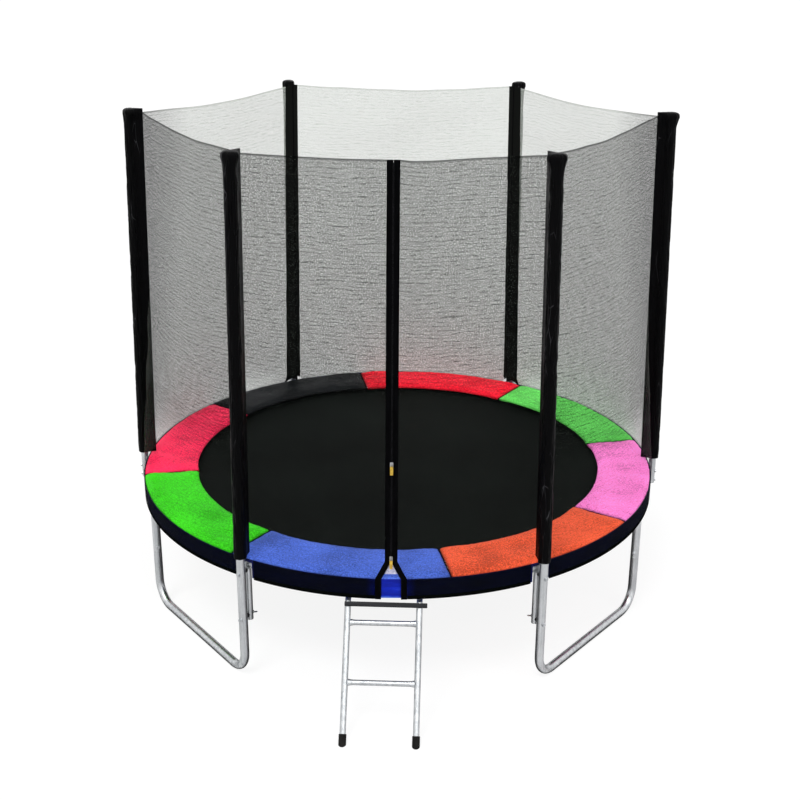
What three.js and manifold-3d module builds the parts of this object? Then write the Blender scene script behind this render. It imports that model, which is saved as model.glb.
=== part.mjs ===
// Backyard trampoline with a safety enclosure: a round galvanised frame on four U-shaped legs, a
// sprung jumping mat, eight padded cover panels with a skirt, six sleeved poles carrying a net with
// a zipped door, and a hook-on ladder. Millimetres, +Z up, the door and the ladder face -Y.

import * as THREE from "three";
import { mergeVertices } from "three/addons/utils/BufferGeometryUtils.js";
import Module from "manifold-3d";

const wasm = await Module();
wasm.setup();

// ---------------------------------------------------------------------------------------------
// Driving sizes
// ---------------------------------------------------------------------------------------------

const CLEARANCE = 0.3;
const POLE_COUNT = 6;
const TUBE_SIDES = 12;

// Top rail: a ring of steel tube in four quarters, swaged into each other.
const RAIL_RADIUS = 1201;
const RAIL_HEIGHT = 528;
const RAIL_TUBE = 19;
const RAIL_WALL = 1.5;
const RAIL_QUARTERS = 4;
const RAIL_STEP_DEG = 7.5;
const SPIGOT_LENGTH = 60;
const SPIGOT_OVERLAP = 10;

// Legs: each U has an outer arm that carries a pole and an inner arm under the rail.
const LEG_BEND = 100;
const LEG_BEND_STEPS = 4;
const LEG_JOINT_HEIGHT = 265;
const INNER_ARM_FROM_SIDE_DEG = 22.5;
const OUTER_ARM_FROM_SIDE_DEG = 60;
const POLE_RADIUS_FROM_CENTRE = 1247;
const ARM_TOP = 574.5;

// Stubs: tubes welded under the rail that the poles and outer arms are bolted to.
const STUB_TUBE = 14;
const STUB_WALL = 1.5;
const STUB_SIDES = 8;
const LONG_STUB_BOTTOM = 262;
const SHORT_STUB_BOTTOM = 436;
const UPPER_BOLT_HEIGHT = 500;
const LOWER_BOLT_HEIGHT = 285;
const SIDE_BOLT_HEIGHT = 455;
const BOLT_SHANK = 4;
const BOLT_HEAD = 8;
const BOLT_HEAD_HEIGHT = 6;
const SPACER = 9;
const JOINT_BOLT_RISE = 30;
const BOLT_SIDES = 6;

// Enclosure poles and the padded sleeves round them. The net pulls the tops inwards.
const POLE_BEND_HEIGHT = 620;
const POLE_LEAN_IN = 47;
const SIDE_POLE_BOTTOM = 440;
const SLEEVE_BOTTOM = 575;
const SLEEVE_TOP = 2236;
const SLEEVE_ROOF = 8;
const SLEEVE_HALF_WIDTH = 27;
const SLEEVE_SEAM_REACH = 55;
const SLEEVE_SEAM_HALF = 4;
const SLEEVE_ROUND_POINTS = 9;
const SLEEVE_ROUND_HALF_DEG = 112;

// Net: six bays between the poles, the front one split by the zipped door.
const NET_THICKNESS = 2.4;
const NET_TOP = 2218;
const NET_TOP_SAG = 22;
const NET_SHOULDER = 600;
const NET_HEM_BEND = 562;
const NET_BOTTOM = 470;
const NET_SEAM_GAP = 0.6;
const NET_NOTCH_HALF = 44;
const NET_FLARE_DEG = 8;
const NET_COLUMNS = 10;

// Door: two zip tapes that part near the bottom, two sliders with ribbon pulls.
const TAPE_WIDTH = 25;
const TAPE_THICKNESS = 2;
const DOOR_PART_HEIGHT = 640;
const DOOR_OPEN_HALF = 40;
const ZIP_GAP_HALF = 0.5;
const SLIDER_WIDTH = 13;
const SLIDER_DEPTH = 5;
const SLIDER_LENGTH = 20;
const LOWER_SLIDER_HEIGHT = 652;
const UPPER_SLIDER_HEIGHT = 1036;
const BRIDGE_WIDTH = 3;
const BRIDGE_WALL = 1.6;
const PULL_WIDTH = 12;
const PULL_LENGTH = 34;
const PULL_THICKNESS = 2;
const PULL_PIN = 1.4;
const PIN_SIDES = 8;
const PULL_FRAME_WIDTH = 2.5;
const PULL_FRAME_DROP = 2;

// Mat, its sewn edge, and the springs between the edge and the rail.
const MAT_RADIUS = 1030;
const MAT_THICKNESS = 3;
const MAT_BOTTOM = 530;
const MAT_SEGMENTS = 48;
const EDGE_BAND_WIDTH = 40;
const EDGE_BAND_THICKNESS = 1.5;
const SPRING_COUNT = 48;
const SPRING_COIL = 7;
const SPRING_SIDES = 4;
const SPRING_EDGE_WIDTH = 9;
const SPRING_EDGE_THICKNESS = 5;

// Pad: eight foam panels over the springs, and the skirt that hangs from their outer edge.
const PAD_PANELS = 8;
const PAD_FIRST_SEAM_DEG = 11.5;
const PAD_SEAM_GAP = 3;
const PAD_INNER = 964;
const PAD_CROWN = 26;
const PAD_STEPS = 8;
const PAD_END_FULLNESS = 0.55;
const PAD_END_SHARE = 0.08;
const PAD_END_ROUNDING = 0.6;
const SKIRT_THICKNESS = 1.4;
const SKIRT_TOP = 561;
const SKIRT_BOTTOM = 475;
const SKIRT_NOTCH_TOP = 546;
const SKIRT_NOTCH_HALF = 36;
const SKIRT_NOTCH_STEP_DEG = 0.1;
const CLOTH_STEP_DEG = 5;

// Ladder: two rails with hooks over the top rail, two rungs, a top bar and rubber feet.
const LADDER_TURN_DEG = -1.4;
const LADDER_RAIL_SPACING = 290;
const LADDER_TUBE = 12.5;
const LADDER_WALL = 1.3;
const LADDER_FOOT_REACH = 352;
const LADDER_LEAN_DEG = 36.5;
const LADDER_RAIL_TOP = 450;
const RUNG_TUBE = 11;
const RUNG_HEIGHTS = [192, 382];
const HOOK_WIDTH = 24;
const HOOK_THICKNESS = 3.5;
const HOOK_TIP_DEG = 62;
const HOOK_LEAVES_DEG = 190;
const HOOK_SHANK = 66;
const HOOK_STEPS = 8;
const HOOK_PLAY = 1.5;
const HOOK_RECESS_WIDTH = 32;
const FOOT_WALL = 3;
const FOOT_HEIGHT = 30;
const FOOT_SOLE = 8;
const GROUND_CUT = 200;
const TOP_BAR_HEIGHT = 20;
const TOP_BAR_DEPTH = 5;
const TOP_BAR_OVERHANG = 32;

// ---------------------------------------------------------------------------------------------
// Materials
// ---------------------------------------------------------------------------------------------

const paint = (color, roughness, metalness = 0) =>
  new THREE.MeshStandardMaterial({ color, roughness, metalness });

const MATERIALS = {
  galvanised: paint(0xb9bcbd, 0.32, 1),
  ladderSteel: paint(0xaeb1b3, 0.3, 1),
  springSteel: paint(0x9a9da0, 0.35, 1),
  sleeve: paint(0x0d0d0f, 0.5),
  net: paint(0x1c1e1f, 0.8),
  tape: paint(0x08080a, 0.7),
  slider: paint(0xc4c6c8, 0.3, 1),
  pull: paint(0xd9b43a, 0.6),
  mat: paint(0x191b1c, 0.75),
  edgeBand: paint(0x101113, 0.8),
  skirt: paint(0x10107a, 0.6),
  rubber: paint(0x0f0f10, 0.8),
  barPlastic: paint(0x15161a, 0.5),
};

const PAD_COLOURS = [
  ["green_right", 0x5fc957],
  ["red_back", 0xe8203c],
  ["black_back", 0x232528],
  ["crimson_left", 0xdf2a52],
  ["green_left", 0x3fd41f],
  ["blue_front", 0x4a68c8],
  ["orange_front", 0xee5a36],
  ["pink_right", 0xf77bc8],
];

// ---------------------------------------------------------------------------------------------
// Geometry helpers
// ---------------------------------------------------------------------------------------------

const radians = THREE.MathUtils.degToRad;
const lerp = THREE.MathUtils.lerp;
const polar = (radius, degrees, z) =>
  new THREE.Vector3(radius * Math.cos(radians(degrees)), radius * Math.sin(radians(degrees)), z);
const toDegrees = (length, radius) => THREE.MathUtils.radToDeg(length / radius);
const apart = (a, b) => Math.abs(((a - b + 540) % 360) - 180);

/** A planar path through chosen stations, with the plane's normal given, so that a section keeps
 *  one side facing out of the plane all along it. */
class StationPath extends THREE.Curve {
  constructor(points, tangents, planeNormal) {
    super();
    this.points = points;
    this.tangents = tangents.map((tangent) => tangent.clone().normalize());
    this.planeNormal = planeNormal.clone().normalize();
  }

  getPoint(t) {
    const place = t * (this.points.length - 1);
    const index = Math.min(Math.floor(place), this.points.length - 2);
    return this.points[index].clone().lerp(this.points[index + 1], place - index);
  }

  getSpacedPoints() {
    return this.points;
  }

  computeFrenetFrames() {
    const binormals = this.tangents.map(() => this.planeNormal.clone());
    const normals = this.tangents.map((tangent) => this.planeNormal.clone().cross(tangent));
    return { tangents: this.tangents, normals, binormals };
  }
}

/** A path of straight runs through the points, each inner station facing halfway round. */
function polyline(points, planeNormal) {
  const runs = points.slice(1).map((point, i) => point.clone().sub(points[i]).normalize());
  const tangents = points.map((_, i) => {
    const before = runs[Math.max(i - 1, 0)];
    const after = runs[Math.min(i, runs.length - 1)];
    return before.clone().add(after);
  });
  return new StationPath(points, tangents, planeNormal);
}

const cornerOf = (flatRadius, sides = TUBE_SIDES) => flatRadius / Math.cos(Math.PI / sides);
const flatOf = (corner, sides = TUBE_SIDES) => corner * Math.cos(Math.PI / sides);

/** Regular polygon whose flats lie at the given radius, one of them facing each axis. */
function polygon(flatRadius, sides = TUBE_SIDES) {
  const corner = cornerOf(flatRadius, sides);
  return Array.from({ length: sides }, (_, i) => {
    const angle = ((i + 0.5) * 2 * Math.PI) / sides;
    return new THREE.Vector2(corner * Math.cos(angle), corner * Math.sin(angle));
  });
}

function sweep(outline, path, hole) {
  const shape = new THREE.Shape(outline);
  if (hole) shape.holes.push(new THREE.Path(hole));
  const steps = path.points.length - 1;
  return new THREE.ExtrudeGeometry(shape, { steps, extrudePath: path, bevelEnabled: false });
}

function toSolid(geometry) {
  const bare = geometry.clone();
  bare.deleteAttribute("normal");
  bare.deleteAttribute("uv");
  const merged = mergeVertices(bare, 1e-4);
  return new wasm.Manifold(
    new wasm.Mesh({
      numProp: 3,
      vertProperties: new Float32Array(merged.attributes.position.array),
      triVerts: new Uint32Array(merged.index.array),
    }),
  );
}

function toGeometry(solid) {
  const mesh = solid.getMesh();
  const geometry = new THREE.BufferGeometry();
  geometry.setAttribute("position", new THREE.BufferAttribute(mesh.vertProperties, 3));
  geometry.setIndex(new THREE.BufferAttribute(mesh.triVerts, 1));
  return geometry;
}

const join = (...geometries) => geometries.map(toSolid).reduce((a, b) => a.add(b));
const cut = (solid, ...geometries) => geometries.map(toSolid).reduce((a, b) => a.subtract(b), solid);

/** A straight bar between two points; its flats face the side given. */
function bar(from, to, flatRadius, side = new THREE.Vector3(0, 0, 1), sides = TUBE_SIDES) {
  return sweep(polygon(flatRadius, sides), polyline([from, to], side));
}

function box(width, depth, height, centre) {
  return new THREE.BoxGeometry(width, depth, height).translate(centre.x, centre.y, centre.z);
}

/** Closed mesh over a grid of outer and inner points: outer[column][row] and inner[column][row].
 *  Both faces fold along the same diagonals, so that the wall stays as thick all over. */
function shell(outer, inner, closed = false) {
  const columns = outer.length;
  const rows = outer[0].length;
  const positions = [...outer.flat(), ...inner.flat()].flatMap((p) => [p.x, p.y, p.z]);
  const out = (c, r) => (c % columns) * rows + r;
  const into = (c, r) => columns * rows + out(c, r);
  const index = [];
  const quad = (a, b, c, d) => index.push(a, b, c, a, c, d);
  const spans = closed ? columns : columns - 1;
  for (let c = 0; c < spans; c += 1) {
    for (let r = 0; r < rows - 1; r += 1) {
      quad(out(c, r), out(c + 1, r), out(c + 1, r + 1), out(c, r + 1));
      quad(into(c, r), into(c, r + 1), into(c + 1, r + 1), into(c + 1, r));
    }
    quad(out(c + 1, 0), out(c, 0), into(c, 0), into(c + 1, 0));
    quad(out(c, rows - 1), out(c + 1, rows - 1), into(c + 1, rows - 1), into(c, rows - 1));
  }
  for (let r = 0; r < rows - 1 && !closed; r += 1) {
    quad(out(0, r), out(0, r + 1), into(0, r + 1), into(0, r));
    const c = columns - 1;
    quad(out(c, r + 1), out(c, r), into(c, r), into(c, r + 1));
  }
  return facingOut(positions, index);
}

/** Closed mesh through equal loops of points, with a fan over each end loop. */
function loft(loops) {
  const count = loops[0].length;
  const positions = loops.flat().flatMap((p) => [p.x, p.y, p.z]);
  const index = [];
  for (let s = 0; s < loops.length - 1; s += 1) {
    for (let i = 0; i < count; i += 1) {
      const next = (i + 1) % count;
      const [a, b] = [s * count + i, s * count + next];
      index.push(a, b, b + count, a, b + count, a + count);
    }
  }
  const last = (loops.length - 1) * count;
  for (let i = 1; i < count - 1; i += 1) {
    index.push(0, i + 1, i);
    index.push(last, last + i, last + i + 1);
  }
  return facingOut(positions, index);
}

function facingOut(positions, index) {
  const corner = (i) => new THREE.Vector3(...positions.slice(3 * i, 3 * i + 3));
  let volume = 0;
  for (let i = 0; i < index.length; i += 3) {
    const [a, b, c] = [corner(index[i]), corner(index[i + 1]), corner(index[i + 2])];
    volume += a.dot(b.cross(c));
  }
  const faces = volume < 0 ? [...index].reverse() : index;
  const geometry = new THREE.BufferGeometry();
  geometry.setAttribute("position", new THREE.Float32BufferAttribute(positions, 3));
  geometry.setIndex(faces);
  return geometry;
}

const trampoline = new THREE.Group();
const ladder = new THREE.Group();
ladder.rotation.z = radians(LADDER_TURN_DEG);
trampoline.add(ladder);

function add(name, geometry, material, parent = trampoline) {
  const mesh = new THREE.Mesh(geometry, material);
  mesh.name = name;
  geometry.computeVertexNormals();
  parent.add(mesh);
}

// ---------------------------------------------------------------------------------------------
// Sizes worked out from the driving sizes
// ---------------------------------------------------------------------------------------------

const UP = new THREE.Vector3(0, 0, 1);
const RAIL_BORE = RAIL_TUBE - RAIL_WALL;
const SPIGOT_TUBE = flatOf(RAIL_BORE - CLEARANCE);
const SPIGOT_BORE = SPIGOT_TUBE - RAIL_WALL;
const RAIL_TOP = RAIL_HEIGHT + RAIL_TUBE;
const RAIL_UNDERSIDE = RAIL_HEIGHT - RAIL_TUBE;
const RAIL_OUTSIDE = RAIL_RADIUS + RAIL_TUBE;
const POLE_TUBE = SPIGOT_TUBE;
const POLE_BORE = POLE_TUBE - RAIL_WALL;
const POLE_TOP = SLEEVE_TOP - SLEEVE_ROOF - CLEARANCE;
const BAY_DEG = 360 / POLE_COUNT;
const POLE_ANGLES = Array.from({ length: POLE_COUNT }, (_, i) => i * BAY_DEG);
const SIDE_POLES = [0, 180];
const DOOR_DEG = 270;

const clothRadius = (inside) => inside / Math.cos(radians(CLOTH_STEP_DEG / 2));
const SKIRT_INSIDE = clothRadius(RAIL_OUTSIDE + CLEARANCE);
const SKIRT_OUTSIDE = SKIRT_INSIDE + SKIRT_THICKNESS;
const HEM_INSIDE = clothRadius(SKIRT_OUTSIDE + CLEARANCE);
const HEM_OUTSIDE = HEM_INSIDE + NET_THICKNESS;
const PAD_UNDERSIDE = RAIL_TOP + CLEARANCE;
const PAD_OUTER = RAIL_OUTSIDE - 2 * CLEARANCE;

// ---------------------------------------------------------------------------------------------
// Top rail: quarters with spigots, welded stubs and leg sockets
// ---------------------------------------------------------------------------------------------

/** A path round the rail from one angle to another. The rail bends only at even steps, so that
 *  tubes, bores and spigots on the same stretch share one centre line. */
function railArc(from, to) {
  const firstBend = Math.ceil(from / RAIL_STEP_DEG + 1e-6) * RAIL_STEP_DEG;
  const angles = [from];
  for (let angle = firstBend; angle < to - 1e-6; angle += RAIL_STEP_DEG) angles.push(angle);
  angles.push(to);
  const half = RAIL_STEP_DEG / 2;
  const points = angles.map((angle) => {
    const fromMiddle = angle - Math.floor(angle / RAIL_STEP_DEG + 1e-6) * RAIL_STEP_DEG - half;
    const radius = (RAIL_RADIUS * Math.cos(radians(half))) / Math.cos(radians(fromMiddle));
    return polar(radius, angle, RAIL_HEIGHT);
  });
  const tangents = angles.map((angle) => polar(1, angle + 90, 0));
  return new StationPath(points, tangents, UP);
}

/** The stub that a pole or an outer arm is bolted to, with its spacers, nuts and bolt shanks. */
function poleStub(angle) {
  const isSide = SIDE_POLES.includes(angle);
  const bottom = isSide ? SHORT_STUB_BOTTOM : LONG_STUB_BOTTOM;
  const bolts = [UPPER_BOLT_HEIGHT, isSide ? SIDE_BOLT_HEIGHT : LOWER_BOLT_HEIGHT];
  const side = polar(1, angle + 90, 0);
  const radialBar = (from, to, z, flatRadius) =>
    bar(polar(from, angle, z), polar(to, angle, z), flatRadius, side, BOLT_SIDES);
  const top = polar(RAIL_RADIUS, angle, RAIL_HEIGHT);
  const upright = (low, flatRadius) => bar(top, top.clone().setZ(low), flatRadius, side, STUB_SIDES);

  const seat = POLE_RADIUS_FROM_CENTRE - cornerOf(isSide ? POLE_TUBE : RAIL_TUBE) - CLEARANCE;
  const inside = RAIL_RADIUS - STUB_TUBE;
  const outside = RAIL_RADIUS + STUB_TUBE;
  const spacers = bolts.map((z) => radialBar(outside - 1, seat, z, SPACER));
  const nuts = bolts.map((z) => radialBar(inside - BOLT_HEAD_HEIGHT, inside + 1, z, BOLT_HEAD));
  return {
    solids: [upright(bottom, STUB_TUBE), ...spacers, ...nuts],
    bores: [upright(bottom - 1, STUB_TUBE - STUB_WALL)],
    shanks: bolts.map((z) => radialBar(inside - 1, outside + 1, z, BOLT_SHANK)),
  };
}

/** The socket under the rail that the tube of an inner leg arm slides over. */
function legSocket(angle) {
  const top = polar(RAIL_RADIUS, angle, RAIL_HEIGHT);
  const low = polar(RAIL_RADIUS, angle, RAIL_UNDERSIDE - SPIGOT_LENGTH);
  const side = polar(1, angle + 90, 0);
  const bore = bar(top, low.clone().setZ(low.z - 1), SPIGOT_BORE, side);
  return { solids: [bar(top, low, SPIGOT_TUBE, side)], bores: [bore], shanks: [] };
}

function railQuarter(middle) {
  const half = 360 / RAIL_QUARTERS / 2;
  const from = middle - half + toDegrees(CLEARANCE, RAIL_RADIUS);
  const to = middle + half;
  const nose = to + toDegrees(SPIGOT_LENGTH, RAIL_RADIUS);
  const neck = to - toDegrees(SPIGOT_OVERLAP, RAIL_RADIUS);
  const inQuarter = (angle) => apart(angle, middle) < half;
  const innerArms = [1, -1].flatMap((side) => [
    side * INNER_ARM_FROM_SIDE_DEG,
    180 + side * INNER_ARM_FROM_SIDE_DEG,
  ]);
  const fittings = [
    ...POLE_ANGLES.filter(inQuarter).map(poleStub),
    ...innerArms.filter(inQuarter).map(legSocket),
  ];
  const tube = join(
    sweep(polygon(RAIL_TUBE), railArc(from, to)),
    sweep(polygon(SPIGOT_TUBE), railArc(neck, nose)),
    ...fittings.flatMap((fitting) => fitting.solids),
  );
  const hollow = cut(
    tube,
    sweep(polygon(RAIL_BORE), railArc(from - 1, neck)),
    sweep(polygon(SPIGOT_BORE), railArc(neck - 1, nose + 1)),
    ...fittings.flatMap((fitting) => fitting.bores),
  );
  const shanks = fittings.flatMap((fitting) => fitting.shanks);
  return toGeometry(shanks.map(toSolid).reduce((a, b) => a.add(b), hollow));
}

for (const [name, middle] of [["front", 270], ["right", 0], ["back", 90], ["left", 180]]) {
  add(`top_rail_${name}`, railQuarter(middle), MATERIALS.galvanised);
}

// ---------------------------------------------------------------------------------------------
// Legs
// ---------------------------------------------------------------------------------------------

const LEGS = [
  ["front_left", 180, 1],
  ["front_right", 0, -1],
  ["back_right", 0, 1],
  ["back_left", 180, -1],
];

/** A U of tube: down the outer arm, along the ground, up the inner arm, with a swaged inner end. */
function legBase(outerAngle, innerAngle) {
  const outer = polar(POLE_RADIUS_FROM_CENTRE, outerAngle, 0);
  const inner = polar(RAIL_RADIUS, innerAngle, 0);
  const along = inner.clone().sub(outer).normalize();
  const span = inner.distanceTo(outer);
  const side = UP.clone().cross(along);
  const at = (s, z) => outer.clone().addScaledVector(along, s).setZ(z);
  const heading = (s, z) => along.clone().multiplyScalar(s).setZ(z);
  const points = [at(0, ARM_TOP)];
  const tangents = [heading(0, -1)];
  for (const corner of [0, 1]) {
    const centre = corner === 0 ? LEG_BEND : span - LEG_BEND;
    for (let i = 0; i <= LEG_BEND_STEPS; i += 1) {
      const turn = ((corner + i / LEG_BEND_STEPS) * Math.PI) / 2;
      const height = RAIL_TUBE + LEG_BEND - LEG_BEND * Math.sin(turn);
      points.push(at(centre - LEG_BEND * Math.cos(turn), height));
      tangents.push(heading(Math.sin(turn), -Math.cos(turn)));
    }
  }
  points.push(at(span, LEG_JOINT_HEIGHT));
  tangents.push(heading(0, 1));
  const path = new StationPath(points, tangents, side);

  const neck = at(span, LEG_JOINT_HEIGHT - SPIGOT_OVERLAP);
  const nose = at(span, LEG_JOINT_HEIGHT + SPIGOT_LENGTH);
  const boreStations = [at(0, ARM_TOP + 1), ...points.slice(1, -1), neck];
  const borePath = new StationPath(boreStations, tangents, side);
  const radial = polar(1, outerAngle, 0);
  const heads = [UPPER_BOLT_HEIGHT, LOWER_BOLT_HEIGHT].map((z) => {
    const face = outer.clone().addScaledVector(radial, RAIL_TUBE - 1).setZ(z);
    const tip = outer.clone().addScaledVector(radial, RAIL_TUBE + BOLT_HEAD_HEIGHT).setZ(z);
    return bar(face, tip, BOLT_HEAD, UP, BOLT_SIDES);
  });
  const outside = join(
    sweep(polygon(RAIL_TUBE), path),
    bar(neck, nose, SPIGOT_TUBE, side),
    ...heads,
  );
  return toGeometry(
    cut(
      outside,
      sweep(polygon(RAIL_BORE), borePath),
      bar(neck.clone().setZ(neck.z - 1), nose.clone().setZ(nose.z + 1), SPIGOT_BORE, side),
    ),
  );
}

/** The tube from the rail's socket down to the U, with the head and nut of its joint bolt. */
function legUpright(angle) {
  const top = polar(RAIL_RADIUS, angle, RAIL_UNDERSIDE - CLEARANCE);
  const low = polar(RAIL_RADIUS, angle, LEG_JOINT_HEIGHT + CLEARANCE);
  const side = polar(1, angle + 90, 0);
  const bolt = polar(RAIL_RADIUS, angle, LEG_JOINT_HEIGHT + JOINT_BOLT_RISE);
  const ends = [1, -1].map((way) =>
    bar(
      bolt.clone().addScaledVector(side, way * (RAIL_TUBE - 1)),
      bolt.clone().addScaledVector(side, way * (RAIL_TUBE + BOLT_HEAD_HEIGHT)),
      BOLT_HEAD,
      UP,
      BOLT_SIDES,
    ),
  );
  const bore = bar(low.clone().setZ(low.z - 1), top.clone().setZ(top.z + 1), RAIL_BORE, side);
  return toGeometry(cut(join(bar(low, top, RAIL_TUBE, side), ...ends), bore));
}

for (const [name, sideAngle, way] of LEGS) {
  const innerAngle = sideAngle + way * INNER_ARM_FROM_SIDE_DEG;
  const outerAngle = sideAngle + way * OUTER_ARM_FROM_SIDE_DEG;
  add(`leg_base_${name}`, legBase(outerAngle, innerAngle), MATERIALS.galvanised);
  add(`leg_upright_${name}`, legUpright(innerAngle), MATERIALS.galvanised);
}

// ---------------------------------------------------------------------------------------------
// Poles and sleeves
// ---------------------------------------------------------------------------------------------

const POLE_NAMES = ["right", "back_right", "back_left", "left", "front_left", "front_right"];
const leanAt = (z) =>
  (POLE_LEAN_IN * Math.max(0, z - POLE_BEND_HEIGHT)) / (SLEEVE_TOP - POLE_BEND_HEIGHT);

function polePath(angle, bottom, top) {
  const heights = [bottom, POLE_BEND_HEIGHT, top];
  const points = heights.map((z) => polar(POLE_RADIUS_FROM_CENTRE - leanAt(z), angle, z));
  return polyline(points, polar(1, angle + 90, 0));
}

/** Round over the pole, drawn in to a flat seam where the net is sewn to it. */
function sleeveOutline() {
  const round = Array.from({ length: SLEEVE_ROUND_POINTS }, (_, i) => {
    const share = i / (SLEEVE_ROUND_POINTS - 1);
    const angle = radians(lerp(-SLEEVE_ROUND_HALF_DEG, SLEEVE_ROUND_HALF_DEG, share));
    return new THREE.Vector2(Math.cos(angle), Math.sin(angle)).multiplyScalar(SLEEVE_HALF_WIDTH);
  });
  return [
    ...round,
    new THREE.Vector2(-SLEEVE_SEAM_REACH, SLEEVE_SEAM_HALF),
    new THREE.Vector2(-SLEEVE_SEAM_REACH, -SLEEVE_SEAM_HALF),
  ];
}

POLE_ANGLES.forEach((angle, i) => {
  const isSide = SIDE_POLES.includes(angle);
  const poleBottom = isSide ? SIDE_POLE_BOTTOM : ARM_TOP - SPIGOT_LENGTH;
  const tube = sweep(polygon(POLE_TUBE), polePath(angle, poleBottom, POLE_TOP), polygon(POLE_BORE));
  add(`pole_${POLE_NAMES[i]}`, tube, MATERIALS.galvanised);

  const solid = toSolid(sweep(sleeveOutline(), polePath(angle, SLEEVE_BOTTOM, SLEEVE_TOP)));
  const borePath = polePath(angle, SLEEVE_BOTTOM - 1, SLEEVE_TOP - SLEEVE_ROOF);
  const bore = sweep(polygon(RAIL_BORE), borePath);
  add(`pole_sleeve_${POLE_NAMES[i]}`, toGeometry(cut(solid, bore)), MATERIALS.sleeve);
});

// ---------------------------------------------------------------------------------------------
// Net and zipped door
// ---------------------------------------------------------------------------------------------

const seamRadius = (z) => POLE_RADIUS_FROM_CENTRE - SLEEVE_SEAM_REACH - leanAt(z);

/** Outer face of the net at an angle, as stations from the top hem down to the bottom hem. */
function netColumn(angle) {
  const bayMiddle = Math.floor(angle / BAY_DEG) * BAY_DEG + BAY_DEG / 2;
  const fromMiddle = angle - bayMiddle;
  const share = Math.abs(fromMiddle) / (BAY_DEG / 2);
  const top = NET_TOP - NET_TOP_SAG * (1 - share * share);
  const halfBay = Math.cos(radians(BAY_DEG / 2));
  const chord = (seamRadius(NET_TOP) * halfBay) / Math.cos(radians(fromMiddle));
  const fromPole = BAY_DEG / 2 - Math.abs(fromMiddle);
  const flare = THREE.MathUtils.smoothstep(fromPole, 0, NET_FLARE_DEG);
  const shoulder = lerp(seamRadius(NET_SHOULDER), HEM_OUTSIDE, flare);
  return [
    [chord, top],
    [lerp(chord, shoulder, 1 / 3), lerp(top, NET_SHOULDER, 1 / 3)],
    [lerp(chord, shoulder, 2 / 3), lerp(top, NET_SHOULDER, 2 / 3)],
    [shoulder, NET_SHOULDER],
    [HEM_OUTSIDE, NET_HEM_BEND],
    [HEM_OUTSIDE, NET_BOTTOM],
  ];
}

/** How far the net stays from a pole's middle plane, at each station of a column. */
const SEAM_EDGE = SLEEVE_SEAM_HALF + NET_SEAM_GAP;
const POLE_EDGE = [SEAM_EDGE, SEAM_EDGE, SEAM_EDGE, SEAM_EDGE, NET_NOTCH_HALF, NET_NOTCH_HALF];

/** Half the gap between the two door tapes at a height. */
const doorGap = (z) => {
  if (z >= DOOR_PART_HEIGHT) return ZIP_GAP_HALF;
  const share = Math.min(1, (DOOR_PART_HEIGHT - z) / (DOOR_PART_HEIGHT - NET_HEM_BEND));
  return lerp(ZIP_GAP_HALF, DOOR_OPEN_HALF, share);
};

/** A bay of net between two edges; an edge is a function of a station's radius and height. */
function netPanel(startEdge, endEdge, middle, columns) {
  const outer = [];
  const inner = [];
  for (let c = 0; c <= columns; c += 1) {
    const column = netColumn(middle(c / columns)).map(([near, level], row) => {
      const angle = lerp(startEdge(near, level, row), endEdge(near, level, row), c / columns);
      const [radius, z] = netColumn(angle)[row];
      return [radius, angle, z];
    });
    outer.push(column.map(([radius, angle, z]) => polar(radius, angle, z)));
    inner.push(column.map(([radius, angle, z]) => polar(radius - NET_THICKNESS, angle, z)));
  }
  return shell(outer, inner);
}

const poleEdge = (poleAngle, way) => (radius, z, row) =>
  poleAngle + way * toDegrees(POLE_EDGE[row], radius);
const doorEdge = (way) => (radius, z) =>
  DOOR_DEG + way * toDegrees(doorGap(z) + TAPE_WIDTH + CLEARANCE, radius);

POLE_ANGLES.forEach((angle, i) => {
  const next = angle + BAY_DEG;
  if (angle < DOOR_DEG && DOOR_DEG < next) return;
  const names = ["right_back", "back", "left_back", "left_front", "front", "right_front"];
  const middle = (share) => lerp(angle + 1, next - 1, share);
  const panel = netPanel(poleEdge(angle, 1), poleEdge(next, -1), middle, NET_COLUMNS);
  add(`net_panel_${names[i]}`, panel, MATERIALS.net);
});

/** The door's two halves: net from the pole to the tape, and the tape itself. */
for (const [name, way] of [["left", -1], ["right", 1]]) {
  const pole = DOOR_DEG + (way * BAY_DEG) / 2;
  const middle = (share) => lerp(pole - way, DOOR_DEG + 2 * way, share);
  const half = netPanel(poleEdge(pole, -way), doorEdge(way), middle, NET_COLUMNS / 2);
  add(`net_door_${name}`, half, MATERIALS.net);

  const [radiusTop, top] = netColumn(DOOR_DEG)[0];
  const stations = [top, (top + NET_SHOULDER) / 2, DOOR_PART_HEIGHT, NET_SHOULDER].map((z) => {
    const share = (top - z) / (top - NET_SHOULDER);
    return [lerp(radiusTop, HEM_OUTSIDE, share), z];
  });
  stations.push([HEM_OUTSIDE, NET_HEM_BEND], [HEM_OUTSIDE, NET_BOTTOM]);
  const face = (across, depth) =>
    stations.map(([radius, z]) => {
      const fromZip = toDegrees(doorGap(z) + across * TAPE_WIDTH, radius);
      return polar(radius - depth, DOOR_DEG + way * fromZip, z);
    });
  const outer = [face(0, 0), face(1, 0)];
  const inner = [face(0, TAPE_THICKNESS), face(1, TAPE_THICKNESS)];
  add(`door_tape_${name}`, shell(outer, inner), MATERIALS.tape);
}

/** The zip's line: straight from the top hem to the shoulder, in the plane of the door. */
const [ZIP_TOP_RADIUS, ZIP_TOP] = netColumn(DOOR_DEG)[0];
const zipLean = Math.atan2(HEM_OUTSIDE - ZIP_TOP_RADIUS, ZIP_TOP - NET_SHOULDER);
const zipRadius = (z) => HEM_OUTSIDE - (z - NET_SHOULDER) * Math.tan(zipLean);

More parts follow.
